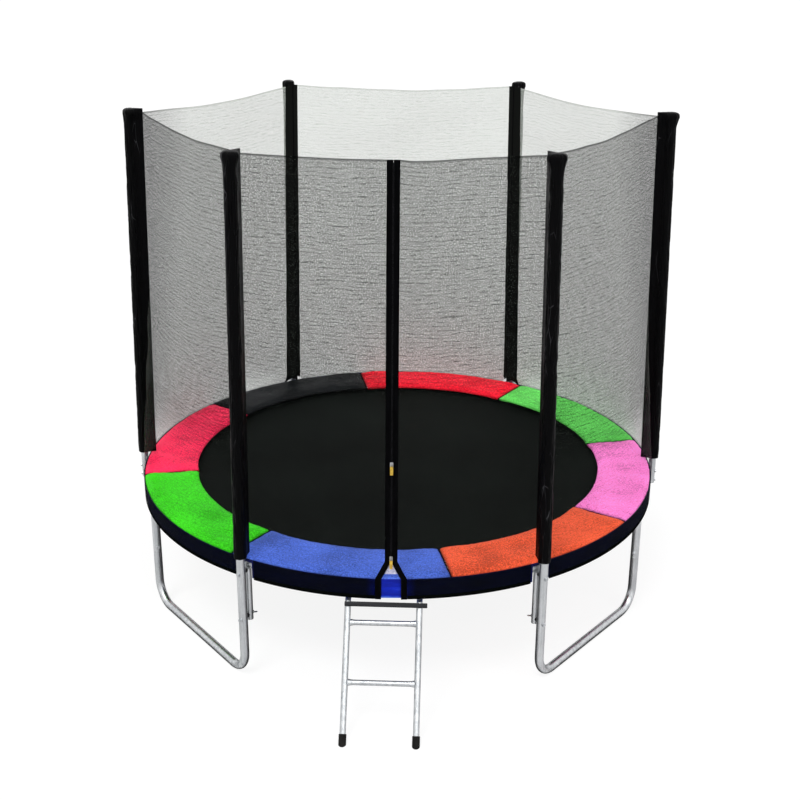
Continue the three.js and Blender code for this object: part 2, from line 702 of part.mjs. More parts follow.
/** A slider lies on the outside of the tapes; its bridge holds the pin of the pull. The local
 *  frame has +Y out of the net and +Z up the zip. */
function addSlider(name, height) {
  const at = (x, y, z) => new THREE.Vector3(x, y, z);
  const eye = 2 * (PULL_PIN + CLEARANCE);
  const pinY = SLIDER_DEPTH + eye / 2;
  const archLength = eye + 2 * BRIDGE_WALL;
  const archTop = SLIDER_DEPTH + eye + BRIDGE_WALL;
  const archFoot = SLIDER_DEPTH - 1;
  const body = box(SLIDER_WIDTH, SLIDER_DEPTH, SLIDER_LENGTH, at(0, SLIDER_DEPTH / 2, 0));
  const arch = box(BRIDGE_WIDTH, archTop - archFoot, archLength, at(0, (archTop + archFoot) / 2, 0));
  const window = box(SLIDER_WIDTH, eye, eye, at(0, pinY, 0));
  const slider = toSolid(body).add(cut(toSolid(arch), window));

  const armX = BRIDGE_WIDTH / 2 + CLEARANCE + PULL_FRAME_WIDTH / 2;
  const armTop = PULL_THICKNESS / 2;
  const ribbonTop = -(archLength / 2 + PULL_FRAME_DROP);
  const armLength = armTop - ribbonTop + 1;
  const armMiddle = armTop - armLength / 2;
  const pin = bar(at(-armX, pinY, 0), at(armX, pinY, 0), PULL_PIN, UP, PIN_SIDES);
  const arms = [-armX, armX].map((x) =>
    box(PULL_FRAME_WIDTH, PULL_THICKNESS, armLength, at(x, pinY, armMiddle)),
  );
  const ribbon = box(PULL_WIDTH, PULL_THICKNESS, PULL_LENGTH, at(0, pinY, ribbonTop - PULL_LENGTH / 2));
  const pull = join(pin, ...arms, ribbon);

  const place = new THREE.Matrix4()
    .makeTranslation(0, -(zipRadius(height) + CLEARANCE), height)
    .multiply(new THREE.Matrix4().makeRotationX(-zipLean))
    .multiply(new THREE.Matrix4().makeRotationZ(Math.PI));
  add(`zip_slider_${name}`, toGeometry(slider).applyMatrix4(place), MATERIALS.slider);
  add(`zip_pull_${name}`, toGeometry(pull).applyMatrix4(place), MATERIALS.pull);
}

addSlider("lower", LOWER_SLIDER_HEIGHT);
addSlider("upper", UPPER_SLIDER_HEIGHT);

// ---------------------------------------------------------------------------------------------
// Mat, springs
// ---------------------------------------------------------------------------------------------

/** A flat ring about the ring's centre, or a disc when its inner radius is 0. */
function disc(inner, outer, bottom, top) {
  const ring = [[inner, bottom], [outer, bottom], [outer, top], [inner, top]];
  const points = inner === 0 ? ring : [...ring, ring[0]];
  const profile = points.map(([r, z]) => new THREE.Vector2(r, z));
  return new THREE.LatheGeometry(profile, MAT_SEGMENTS).rotateX(Math.PI / 2);
}

const MAT_TOP = MAT_BOTTOM + MAT_THICKNESS;
const MAT_MIDDLE = MAT_BOTTOM + MAT_THICKNESS / 2;
const matDisc = disc(0, MAT_RADIUS, MAT_BOTTOM, MAT_TOP);
add("jumping_mat", toGeometry(toSolid(matDisc)), MATERIALS.mat);

const bandInner = MAT_RADIUS - EDGE_BAND_WIDTH;
const bandBottom = MAT_TOP + CLEARANCE;
const band = disc(bandInner, MAT_RADIUS, bandBottom, bandBottom + EDGE_BAND_THICKNESS);
add("mat_edge_band", toGeometry(toSolid(band)), MATERIALS.edgeBand);

const edgeInner = MAT_RADIUS + CLEARANCE / Math.cos(Math.PI / MAT_SEGMENTS);
const edgeRing = disc(
  edgeInner,
  edgeInner + SPRING_EDGE_WIDTH,
  MAT_MIDDLE - SPRING_EDGE_THICKNESS / 2,
  MAT_MIDDLE + SPRING_EDGE_THICKNESS / 2,
);
// The rail bends where a spring meets it, so its inner side dips towards the spring's corners.
const railDip = SPRING_COIL * Math.tan(radians(RAIL_STEP_DEG / 2));
const springs = Array.from({ length: SPRING_COUNT }, (_, i) => {
  const angle = (i * 360) / SPRING_COUNT;
  const start = polar(edgeInner + SPRING_EDGE_WIDTH / 2, angle, MAT_MIDDLE);
  const end = polar(RAIL_RADIUS - RAIL_TUBE - railDip - CLEARANCE, angle, MAT_MIDDLE);
  return bar(start, end, SPRING_COIL, UP, SPRING_SIDES);
});
add("spring_set", toGeometry(join(edgeRing, ...springs)), MATERIALS.springSteel);

// ---------------------------------------------------------------------------------------------
// Pad panels and skirt
// ---------------------------------------------------------------------------------------------

/** Section of a pad panel: flat underneath, drawn-in edges and a crowned top. Each pair is a
 *  share of the panel's width, from its inner edge, and a share of its crown. */
function padSection(fullness) {
  const width = PAD_OUTER - PAD_INNER;
  const crown = PAD_CROWN * fullness;
  const shape = [
    [0.03, 0], [0, 0.24], [0.008, 0.5], [0.05, 0.78], [0.2, 0.94], [0.5, 1],
    [0.8, 0.95], [0.95, 0.78], [0.992, 0.5], [1, 0.24], [0.97, 0],
  ];
  return shape.map(([across, up]) => [PAD_INNER + across * width, PAD_UNDERSIDE + up * crown]);
}

const LADDER_RAILS_X = [-LADDER_RAIL_SPACING / 2, LADDER_RAIL_SPACING / 2];
const HOOK_AXIS_OUT = Math.sqrt(RAIL_RADIUS ** 2 - (LADDER_RAIL_SPACING / 2) ** 2);

// The rail curves away across a hook's width, so the hook is wider than the tube by that slant.
const hookTurn = Math.asin(LADDER_RAIL_SPACING / 2 / RAIL_RADIUS) + radians(RAIL_STEP_DEG / 2);
const hookSlant = (HOOK_WIDTH / 2) * Math.tan(hookTurn);
const railSag = RAIL_RADIUS * (1 - Math.cos(radians(RAIL_STEP_DEG / 2)));
const HOOK_INSIDE = cornerOf(RAIL_TUBE) + hookSlant + railSag / 2 + CLEARANCE;
const HOOK_ROOM = HOOK_INSIDE + HOOK_THICKNESS + HOOK_PLAY;

/** Room under the pad for the ladder's hooks. */
function hookRecess(x) {
  const height = HOOK_ROOM - RAIL_TUBE;
  const centre = new THREE.Vector3(x, -HOOK_AXIS_OUT, PAD_UNDERSIDE);
  const recess = box(HOOK_RECESS_WIDTH, 2 * HOOK_ROOM, 2 * height, centre);
  return recess.rotateZ(radians(LADDER_TURN_DEG));
}

/** Shares of a panel's length that its sections stand at, with a closer one near each end. */
const padStation = [0, 0.03];
for (let step = 1; step < PAD_STEPS; step += 1) padStation.push(step / PAD_STEPS);
padStation.push(0.97, 1);

PAD_COLOURS.forEach(([name, colour], i) => {
  const width = 360 / PAD_PANELS;
  const gap = toDegrees(PAD_SEAM_GAP / 2, (PAD_INNER + PAD_OUTER) / 2);
  const from = PAD_FIRST_SEAM_DEG + i * width + gap;
  const to = PAD_FIRST_SEAM_DEG + (i + 1) * width - gap;
  const loops = padStation.map((place) => {
    const fromEnd = Math.min(1, Math.min(place, 1 - place) / PAD_END_SHARE);
    const fullness = lerp(PAD_END_FULLNESS, 1, fromEnd ** PAD_END_ROUNDING);
    return padSection(fullness).map(([r, z]) => polar(r, lerp(from, to, place), z));
  });
  const panel = cut(toSolid(loft(loops)), ...LADDER_RAILS_X.map(hookRecess));
  add(`pad_${name}`, toGeometry(panel), paint(colour, 0.55));
});

const notchDeg = toDegrees(SKIRT_NOTCH_HALF, SKIRT_INSIDE);

/** Angles round the skirt: even steps, with a close pair at each side of every notch. */
function skirtAngles() {
  const beyond = notchDeg + SKIRT_NOTCH_STEP_DEG;
  const offsets = [-beyond, -notchDeg, notchDeg, beyond];
  const edges = POLE_ANGLES.flatMap((angle) => offsets.map((offset) => (angle + offset + 360) % 360));
  const even = Array.from({ length: 360 / CLOTH_STEP_DEG }, (_, i) => (i + 0.5) * CLOTH_STEP_DEG);
  const free = even.filter((angle) => edges.every((edge) => apart(angle, edge) > CLOTH_STEP_DEG / 6));
  return [...edges, ...free].sort((a, b) => a - b);
}

const skirtColumns = skirtAngles().map((angle) => {
  const inNotch = POLE_ANGLES.some((pole) => apart(angle, pole) < notchDeg + SKIRT_NOTCH_STEP_DEG / 2);
  const bottom = inNotch ? SKIRT_NOTCH_TOP : SKIRT_BOTTOM;
  return [SKIRT_OUTSIDE, SKIRT_INSIDE].map((radius) => [
    polar(radius, angle, SKIRT_TOP),
    polar(radius, angle, bottom),
  ]);
});
const skirtFaces = [0, 1].map((face) => skirtColumns.map((column) => column[face]));
add("skirt", shell(...skirtFaces, true), MATERIALS.skirt);

// ---------------------------------------------------------------------------------------------
// Ladder
// ---------------------------------------------------------------------------------------------

/** A point of the ladder's side view: outward from the top rail's axis, and height. */
const ladderPoint = (x, out, z) => new THREE.Vector3(x, -(HOOK_AXIS_OUT + out), z);
const lean = radians(LADDER_LEAN_DEG);
const outAt = (z) => LADDER_FOOT_REACH - z * Math.tan(lean);
const ACROSS = new THREE.Vector3(1, 0, 0);

/** The hook: over the top rail from outside, down its inner side, then out to the rail's end. */
function hookPath(x, railOut) {
  const middle = HOOK_INSIDE + HOOK_THICKNESS / 2;
  const step = (HOOK_LEAVES_DEG - HOOK_TIP_DEG) / HOOK_STEPS;
  const stretch = middle / Math.cos(radians(step / 2));
  const points = Array.from({ length: HOOK_STEPS + 1 }, (_, i) => {
    const turn = radians(HOOK_TIP_DEG + i * step);
    return [stretch * Math.cos(turn), stretch * Math.sin(turn)];
  });
  const leave = radians(HOOK_LEAVES_DEG + 90);
  const [lastOut, lastUp] = points[points.length - 1];
  points.push([lastOut + HOOK_SHANK * Math.cos(leave), lastUp + HOOK_SHANK * Math.sin(leave)]);
  points.push([railOut, LADDER_RAIL_TOP - RAIL_HEIGHT]);
  const weldEnd = LADDER_RAIL_TOP - HOOK_WIDTH;
  points.push([outAt(weldEnd), weldEnd - RAIL_HEIGHT]);
  return polyline(points.map(([out, up]) => ladderPoint(x, out, RAIL_HEIGHT + up)), ACROSS);
}

const FOOT_RISE = FOOT_SOLE + (LADDER_TUBE + FOOT_WALL) * Math.sin(lean);
const LADDER_NAMES = ["left", "right"];

LADDER_RAILS_X.forEach((x, i) => {
  const top = ladderPoint(x, outAt(LADDER_RAIL_TOP), LADDER_RAIL_TOP);
  const foot = ladderPoint(x, outAt(FOOT_RISE), FOOT_RISE);
  const half = HOOK_WIDTH / 2;
  const strip = [[-1, -1], [1, -1], [1, 1], [-1, 1]].map(
    ([a, b]) => new THREE.Vector2((a * HOOK_THICKNESS) / 2, b * half),
  );
  const line = polyline([foot, top], ACROSS);
  const tube = sweep(polygon(LADDER_TUBE), line, polygon(LADDER_TUBE - LADDER_WALL));
  const hook = sweep(strip, hookPath(x, outAt(LADDER_RAIL_TOP)));
  add(`ladder_rail_${LADDER_NAMES[i]}`, toGeometry(join(tube, hook)), MATERIALS.ladderSteel, ladder);

  const along = top.clone().sub(foot).normalize();
  const capTop = foot.clone().addScaledVector(along, FOOT_HEIGHT);
  const below = foot.clone().addScaledVector(along, -3 * FOOT_RISE);
  const cap = toSolid(bar(below, capTop, LADDER_TUBE + FOOT_WALL, ACROSS));
  const underGround = new THREE.Vector3(x, foot.y, -GROUND_CUT / 2);
  const ground = box(GROUND_CUT, GROUND_CUT, GROUND_CUT, underGround);
  const roomBottom = foot.clone().addScaledVector(along, -CLEARANCE);
  const roomTop = capTop.clone().addScaledVector(along, 1);
  const room = bar(roomBottom, roomTop, LADDER_TUBE + CLEARANCE, ACROSS);
  add(`ladder_foot_${LADDER_NAMES[i]}`, toGeometry(cut(cap, ground, room)), MATERIALS.rubber, ladder);
});

RUNG_HEIGHTS.forEach((z, i) => {
  const [left, right] = LADDER_RAILS_X.map((x) => ladderPoint(x, outAt(z), z));
  left.x += LADDER_TUBE + CLEARANCE;
  right.x -= LADDER_TUBE + CLEARANCE;
  const path = polyline([left, right], UP);
  const rung = sweep(polygon(RUNG_TUBE), path, polygon(RUNG_TUBE - LADDER_WALL));
  add(`ladder_rung_${["lower", "upper"][i]}`, rung, MATERIALS.ladderSteel, ladder);
});

/** The black bar across the rails' tops, lying on their upper side. */
const barLeft = LADDER_RAILS_X[0] - LADDER_TUBE;
const barRight = LADDER_RAILS_X[1] + TOP_BAR_OVERHANG;
const barLift = LADDER_TUBE + CLEARANCE + TOP_BAR_DEPTH / 2;
const barHeight = LADDER_RAIL_TOP - TOP_BAR_HEIGHT / 2;
const topBar = new THREE.BoxGeometry(barRight - barLeft, TOP_BAR_DEPTH, TOP_BAR_HEIGHT)
  .rotateX(-lean)
  .translate(
    (barLeft + barRight) / 2,
    -(HOOK_AXIS_OUT + outAt(barHeight) + barLift * Math.cos(lean)),
    barHeight + barLift * Math.sin(lean),
  );
add("ladder_top_bar", topBar, MATERIALS.barPlastic, ladder);

// The origin is the middle of the footprint, on the ground.
const extent = new THREE.Box3().setFromObject(trampoline);
trampoline.position.y = -(extent.min.y + extent.max.y) / 2;
trampoline.updateMatrixWorld(true);

export default trampoline;
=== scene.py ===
import bmesh
import bpy
import numpy as np
from mathutils import Matrix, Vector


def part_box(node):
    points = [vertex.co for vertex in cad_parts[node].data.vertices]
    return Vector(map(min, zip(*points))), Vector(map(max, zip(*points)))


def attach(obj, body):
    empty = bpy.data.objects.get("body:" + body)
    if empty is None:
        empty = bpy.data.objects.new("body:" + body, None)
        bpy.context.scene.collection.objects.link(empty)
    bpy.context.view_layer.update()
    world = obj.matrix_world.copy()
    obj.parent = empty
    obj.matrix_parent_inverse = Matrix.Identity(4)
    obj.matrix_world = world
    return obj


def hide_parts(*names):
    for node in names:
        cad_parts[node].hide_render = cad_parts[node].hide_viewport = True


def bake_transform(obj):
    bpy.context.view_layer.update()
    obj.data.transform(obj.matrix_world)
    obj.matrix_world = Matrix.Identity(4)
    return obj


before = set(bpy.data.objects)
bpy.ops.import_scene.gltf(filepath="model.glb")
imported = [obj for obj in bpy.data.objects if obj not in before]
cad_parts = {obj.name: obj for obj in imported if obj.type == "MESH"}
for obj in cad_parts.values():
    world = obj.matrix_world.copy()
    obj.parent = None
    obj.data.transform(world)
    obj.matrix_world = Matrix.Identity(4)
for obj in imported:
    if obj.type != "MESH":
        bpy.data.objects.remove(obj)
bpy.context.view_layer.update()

# ---------------------------------------------------------------------------------------------
# Viewpoint and studio. The camera stands in front of the door, a little to the right, and looks
# down at the pads. A white floor and a white sky give the plain background.
# ---------------------------------------------------------------------------------------------

scene = bpy.context.scene
scene.view_settings.view_transform = "Standard"

mat_low, mat_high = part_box("jumping_mat")
RING_Y = (mat_low[1] + mat_high[1]) / 2

VIEW_TURN = np.radians(1.13571862)
VIEW_PITCH, VIEW_YAW, VIEW_ROLL = 0.3702109, 0.00133446, 0.00472491
VIEW_PLACE = np.array([0.00236494, -5.649275, 3.049369])
PICTURE_PIXELS, FOCAL_PIXELS, SENSOR_WIDTH = 800, 1255.787, 36
forward = np.array([np.sin(VIEW_YAW), np.cos(VIEW_YAW), 0]) * np.cos(VIEW_PITCH)
forward[2] = -np.sin(VIEW_PITCH)
level = np.array([np.cos(VIEW_YAW), -np.sin(VIEW_YAW), 0])
upright = np.cross(level, forward)
right = np.cos(VIEW_ROLL) * level + np.sin(VIEW_ROLL) * upright
above = -np.sin(VIEW_ROLL) * level + np.cos(VIEW_ROLL) * upright
turned = Matrix.Rotation(VIEW_TURN, 4, "Z")
viewpoint = Matrix(np.vstack([np.column_stack([right, above, -forward, VIEW_PLACE]), [0, 0, 0, 1]]))
camera = bpy.data.objects.new("camera", bpy.data.cameras.new("camera"))
camera.matrix_world = Matrix.Translation((0, RING_Y, 0)) @ turned @ viewpoint
camera.data.sensor_width = SENSOR_WIDTH
camera.data.lens = FOCAL_PIXELS * SENSOR_WIDTH / PICTURE_PIXELS
camera.data.clip_end = 200
scene.collection.objects.link(camera)
scene.camera = camera


def node(tree, kind, inputs=None, **settings):
    """Adds a node with its settings. Each input gets a value, or a link from another's output."""
    made = tree.nodes.new(kind)
    for key, value in settings.items():
        setattr(made, key, value)
    for key, value in (inputs or {}).items():
        if isinstance(value, bpy.types.NodeSocket):
            tree.links.new(value, made.inputs[key])
        else:
            made.inputs[key].default_value = value
    return made


def maths(tree, operation, *values, **settings):
    """Result of one sum on numbers or outputs. MULTIPLY_ADD gives a * b + c."""
    inputs = dict(enumerate(values))
    return node(tree, "ShaderNodeMath", inputs, operation=operation, **settings).outputs[0]


def between(tree, value, low, high, start=0, end=1):
    """Value carried over from the range low to high to the range start to end, and held there."""
    inputs = {"Value": value, "From Min": low, "From Max": high, "To Min": start, "To Max": end}
    return node(tree, "ShaderNodeMapRange", inputs).outputs[0]


def together(*parts):
    """Arrays of matching shapes side by side in one array, such as x, y and z as points."""
    return np.stack(np.broadcast_arrays(*parts), -1)


def full_turn(count):
    """Angles of a full turn in even steps, in radians."""
    return np.linspace(0, 2 * np.pi, count, endpoint=False)


def quads(rows, columns, round_rows=False, round_columns=False):
    """Four point numbers for each face of a grid, whose point number is row * columns + column."""
    r = np.arange(rows if round_rows else rows - 1)[:, None]
    c = np.arange(columns if round_columns else columns - 1)[None, :]
    below, beside = (r + 1) % rows, (c + 1) % columns
    corners = [r * columns + c, r * columns + beside, below * columns + beside, below * columns + c]
    return together(*corners).reshape(-1, 4)


def surface(grid, **rounds):
    """The points and faces of a grid of points, with rounds as quads takes them."""
    return grid.reshape(-1, 3), quads(*grid.shape[:2], **rounds)


def gathered(shells):
    """Several (points, faces) as one, with each one's point numbers moved on past the others'."""
    starts = np.cumsum([0] + [len(points) for points, _ in shells[:-1]])
    points = np.concatenate([points for points, _ in shells])
    faces = np.concatenate([faces + start for (_, faces), start in zip(shells, starts)])
    return points, faces


def make(name, shells, finish, sharp=35, closed=True, uv=None):
    """A piece from its (points, faces). A closed one has its doubles merged and its faces turned
    outwards. uv gives each point's place on its cloth, in metres."""
    points, faces = gathered(shells)
    mesh = bpy.data.meshes.new(name)
    mesh.vertices.add(len(points))
    mesh.vertices.foreach_set("co", points.astype(np.float32).ravel())
    mesh.loops.add(4 * len(faces))
    mesh.loops.foreach_set("vertex_index", faces.astype(np.int32).ravel())
    mesh.polygons.add(len(faces))
    mesh.polygons.foreach_set("loop_start", np.arange(0, 4 * len(faces), 4, dtype=np.int32))
    mesh.update(calc_edges=True)
    if uv is not None:
        layer = mesh.uv_layers.new(name="cloth")
        layer.data.foreach_set("uv", uv.reshape(-1, 2)[faces.ravel()].astype(np.float32).ravel())
    if closed:
        solid = bmesh.new()
        solid.from_mesh(mesh)
        bmesh.ops.remove_doubles(solid, verts=solid.verts, dist=2e-6)
        bmesh.ops.dissolve_degenerate(solid, edges=solid.edges, dist=1e-7)
        bmesh.ops.recalc_face_normals(solid, faces=solid.faces)
        solid.to_mesh(mesh)
        solid.free()
    mesh.shade_smooth()
    mesh.set_sharp_from_angle(angle=np.radians(sharp))
    mesh.materials.append(finish)
    piece = bpy.data.objects.new(name, mesh)
    scene.collection.objects.link(piece)
    return piece


def bare_tree(owner):
    """The emptied node tree of a material or a world."""
    owner.use_nodes = True
    owner.node_tree.nodes.clear()
    return owner.node_tree


FLOOR_TONE, FLOOR_GLOW, FLOOR_GLOW_SHARE = 0.86, 1.1, 0.8
floor_paint = bpy.data.materials.new("studio floor")
tree = bare_tree(floor_paint)
seen = node(tree, "ShaderNodeLightPath").outputs["Is Camera Ray"]
matt = node(tree, "ShaderNodeBsdfDiffuse", {"Color": (FLOOR_TONE, FLOOR_TONE, FLOOR_TONE, 1)})
glow = node(tree, "ShaderNodeEmission", {"Strength": FLOOR_GLOW})
share = maths(tree, "MULTIPLY", seen, FLOOR_GLOW_SHARE)
both = node(tree, "ShaderNodeMixShader", {0: share, 1: matt.outputs[0], 2: glow.outputs[0]})
node(tree, "ShaderNodeOutputMaterial", {"Surface": both.outputs[0]})

FLOOR_REACH, FLOOR_DEPTH = 45, -0.0008
edges = np.array([-FLOOR_REACH, FLOOR_REACH])
floor_grid = together(edges[None, :], edges[:, None], FLOOR_DEPTH)
floor = make("studio_floor", [surface(floor_grid)], floor_paint, closed=False)

world = bpy.data.worlds.new("studio sky")
scene.world = world
tree = bare_tree(world)
path = node(tree, "ShaderNodeLightPath").outputs
direct = maths(tree, "MAXIMUM", path["Is Camera Ray"], path["Is Glossy Ray"])
shown = maths(tree, "MAXIMUM", direct, path["Is Transmission Ray"])
sky_strength = between(tree, shown, 0, 1, 0.5, 1)
sky = node(tree, "ShaderNodeBackground", {"Color": (1, 1, 1, 1), "Strength": sky_strength})
node(tree, "ShaderNodeOutputWorld", {"Surface": sky.outputs[0]})


def lamp(name, aim, strength, softness):
    """A far soft lamp that shines from a direction, given as degrees round and degrees up."""
    light = bpy.data.lights.new(name, "SUN")
    light.energy = strength
    light.angle = np.radians(softness)
    holder = bpy.data.objects.new(name, light)
    around, up = np.radians(aim)
    toward = Matrix.Rotation(around, 4, "Z") @ Matrix.Rotation(np.pi / 2 - up, 4, "X")
    holder.matrix_world = toward
    scene.collection.objects.link(holder)


lamp("key_lamp", (-28, 58), 1.25, 22)
lamp("fill_lamp", (35, 42), 0.55, 40)

# A dark disc under the ring that only shiny pieces see, so that a bright tube has dark edges.
card_paint = bpy.data.materials.new("dark card")
card_paint.use_nodes = True
card_shader = card_paint.node_tree.nodes["Principled BSDF"]
card_shader.inputs["Base Color"].default_value = (0.02, 0.02, 0.02, 1)
card_turn = full_turn(72)[None, :]
card_reach = np.array([0.0, 1.25])[:, None]
card_x, card_y = card_reach * np.cos(card_turn), RING_Y + card_reach * np.sin(card_turn)
card_grid = together(card_x, card_y, FLOOR_DEPTH / 2)
card = make("dark_disc", [surface(card_grid, round_columns=True)], card_paint, closed=False)
card.visible_camera = card.visible_diffuse = card.visible_shadow = False
card.visible_transmission = False

# ---------------------------------------------------------------------------------------------
# Leg bases and uprights: four U-shaped legs of bright galvanised steel tube, bent cold. The outer
# arm carries a pole, the inner arm is swaged into an upright that plugs in under the top rail.
# ---------------------------------------------------------------------------------------------


def srgb(red, green, blue):
    """A colour written as it looks on a screen, from 0 to 255, as the light that it reflects."""
    c = np.array([red, green, blue]) / 255
    linear = np.where(c <= 0.04045, c / 12.92, ((c + 0.055) / 1.055) ** 2.4)
    return (*linear.tolist(), 1.0)


def polar(radius, degrees, height):
    """Points at a distance and an angle round the ring's middle, and at a height."""
    angle = np.radians(degrees)
    return together(radius * np.cos(angle), RING_Y + radius * np.sin(angle), height).astype(float)


def outwards(degrees):
    """Direction from the ring's middle towards an angle."""
    return polar(1, degrees, 0) - polar(0, degrees, 0)


def roundwards(degrees):
    """Direction round the ring at an angle, a quarter turn on from outwards."""
    return polar(1, degrees + 90, 0) - polar(0, degrees, 0)


def unit(vectors):
    """The same directions with a length of one."""
    vectors = np.asarray(vectors, float)
    return vectors / np.linalg.norm(vectors, axis=-1, keepdims=True)


def wrapped(line, out, flat, radius, sides):
    """A ring of points round each point of a line: line + radius * (cos a * out + sin a * flat)."""
    turn = full_turn(sides)[None, :, None]
    reach = np.broadcast_to(radius, len(line))[:, None, None]
    out, flat = (np.broadcast_to(way, line.shape)[:, None] for way in (out, flat))
    return line[:, None] + reach * (np.cos(turn) * out + np.sin(turn) * flat)


def tube(line, flat, radius, sides=28):
    """Round tube whose centre line lies in a plane with the normal flat, and which is wrapped
    with out = flat x run, where run is the line's direction."""
    line, flat = np.asarray(line, float), unit(flat)
    return wrapped(line, np.cross(flat, unit(np.gradient(line, axis=0))), flat, radius, sides)


def lathe(start, way, flat, profile, sides):
    """Turned piece on a straight axis from start: each profile pair is (along, radius)."""
    along, radius = np.asarray(profile, float).T
    way, flat = unit(way), unit(flat)
    middle = np.asarray(start, float) + along[:, None] * way
    return surface(wrapped(middle, np.cross(flat, way), flat, radius, sides), round_columns=True)


def with_ends(grid, wall=0.0015):
    """The same tube with an open end at each side: a rim as thick as the wall, and a dark bore."""
    def mouth(ring, inner):
        middle = ring.mean(0)
        radius = np.linalg.norm(ring - middle, axis=1).mean()
        lip = middle + (ring - middle) * (1 - wall / radius)
        bore = lip - unit(middle - inner.mean(0)) * 0.02
        return np.stack([np.broadcast_to(bore.mean(0), ring.shape), bore, lip])
    first, last = mouth(grid[0], grid[1]), mouth(grid[-1], grid[-2])
    return surface(np.concatenate([first, grid, last[::-1]]), round_columns=True)


def hexagon_head(seat, way, across=0.0075, height=0.0055, washer=0.0):
    """Bolt head with six flats and a chamfered face, on an optional round washer. The flats lie
    across from its middle: radius = across / cos(angle from the middle of the flat)."""
    way = unit(way)
    flat = unit(np.cross(way, [0.3, 0.2, 1.0]))
    side = np.cross(flat, way)
    turn, closed = full_turn(24), np.zeros(24)
    flats = across / np.cos((turn + np.pi / 6) % (np.pi / 3) - np.pi / 6)
    chamfer = np.minimum(flats, across * 1.03)
    rings = [(0, closed), (0, flats), (0.8 * height, flats), (height, chamfer), (height, closed)]
    ring = np.cos(turn)[:, None] * side + np.sin(turn)[:, None] * flat
    grid = np.stack([seat + along * way + radius[:, None] * ring for along, radius in rings])
    shells = [surface(grid, round_columns=True)]
    if washer:
        disc = [(-0.0016, 0), (-0.0016, washer), (0, washer), (0, 0)]
        shells.append(lathe(seat, way, flat, disc, 24))
    return shells


def wing_nut(seat, way, spread):
    """Wing nut: a tapered hub and two thin paddles that stand out along spread. A paddle is a
    ball of 6.5 by 8.5 by 1.6 mm, leaning outwards."""
    way, spread = unit(way), unit(spread)
    hub = [(0, 0), (0, 0.0075), (0.003, 0.0075), (0.010, 0.0052), (0.011, 0)]
    shells = [lathe(seat, way, spread, hub, 20)]
    theta = np.linspace(0, np.pi, 9)[:, None, None]
    phi = full_turn(14)[None, :, None]
    third = np.cross(way, spread)
    for side in (-1, 1):
        middle = seat + way * 0.010 + spread * side * 0.011
        paddle = (
            middle
            + np.cos(theta) * spread * 0.0065
            + np.sin(theta) * np.cos(phi) * (way + 0.35 * side * spread) * 0.0085
            + np.sin(theta) * np.sin(phi) * third * 0.0016
        )
        shells.append(surface(paddle, round_columns=True))
    return shells


def material(name, colour, roughness, **sockets):
    """A material of one Principled shader, with its own values set on the shader's sockets."""
    made = bpy.data.materials.new(name)
    made.use_nodes = True
    shader = made.node_tree.nodes["Principled BSDF"]
    shader.inputs["Base Color"].default_value = colour
    shader.inputs["Roughness"].default_value = roughness
    for key, value in sockets.items():
        shader.inputs[key.replace("_", " ")].default_value = value
    made.diffuse_color = colour
    return made


def joined(finish, **links):
    """Links outputs to the sockets of a material's Principled shader."""
    shader = finish.node_tree.nodes["Principled BSDF"]
    for key, output in links.items():
        finish.node_tree.links.new(output, shader.inputs[key.replace("_", " ")])


def bumped(tree, height, depth, strength=1.0):
    """Normal of a surface whose height varies by depth metres."""
    inputs = {"Height": height, "Distance": depth, "Strength": strength}
    return node(tree, "ShaderNodeBump", inputs).outputs[0]


def coordinates(tree, kind):
    """The object's own coordinates, or its cloth's where kind is UV, in metres."""
    return node(tree, "ShaderNodeTexCoord").outputs[kind]


def stretched(tree, scale, kind="Object"):
    """Coordinates scaled on each axis, or all alike by one number."""
    inputs = {"Vector": coordinates(tree, kind), "Scale": np.broadcast_to(scale, 3).tolist()}
    return node(tree, "ShaderNodeMapping", inputs).outputs[0]


def noise(tree, scale, detail=3, roughness=0.5, kind="Object", output="Fac"):
    """Cloudy value from 0 to 1, on coordinates as stretched gives them."""
    place = stretched(tree, scale, kind)
    inputs = {"Vector": place, "Scale": 1, "Detail": detail, "Roughness": roughness}
    return node(tree, "ShaderNodeTexNoise", inputs).outputs[output]


def ramp(tree, value, *stops):
    """Colour by value, through stops of (place, colour)."""
    made = node(tree, "ShaderNodeValToRGB", {"Fac": value})
    for i, (place, colour) in enumerate(stops):
        stop = made.color_ramp.elements[i] if i < 2 else made.color_ramp.elements.new(place)
        stop.position, stop.color = place, colour
    return made.outputs["Color"]


def group_ends(group, **outputs):
    """Gives a node group its named numbers as outputs."""
    for name in outputs:
        group.interface.new_socket(name=name, in_out="OUTPUT", socket_type="NodeSocketFloat")
    node(group, "NodeGroupOutput", outputs)


# Hot zinc on steel: small crystals, soft streaks down the tube and dull spots.
zinc_coat = bpy.data.node_groups.new("zinc coat", "ShaderNodeTree")
cells = {"Vector": stretched(zinc_coat, (1, 1, 0.55)), "Scale": 190}
crystals = node(zinc_coat, "ShaderNodeTexVoronoi", cells).outputs["Color"]
crystal_tone = node(zinc_coat, "ShaderNodeRGBToBW", {"Color": crystals}).outputs[0]
streaks = noise(zinc_coat, (80, 80, 3))
tone = maths(zinc_coat, "MULTIPLY", streaks, 0.62)
tone = maths(zinc_coat, "MULTIPLY_ADD", noise(zinc_coat, 9, 4), 0.3, tone)
tone = maths(zinc_coat, "MULTIPLY_ADD", crystal_tone, 0.08, tone)
dull = between(zinc_coat, noise(zinc_coat, 60, 2), 0, 1, 0.24, 0.46)
rough = maths(zinc_coat, "ADD", crystal_tone, streaks)
group_ends(zinc_coat, Tone=tone, Dullness=dull, Relief=rough)


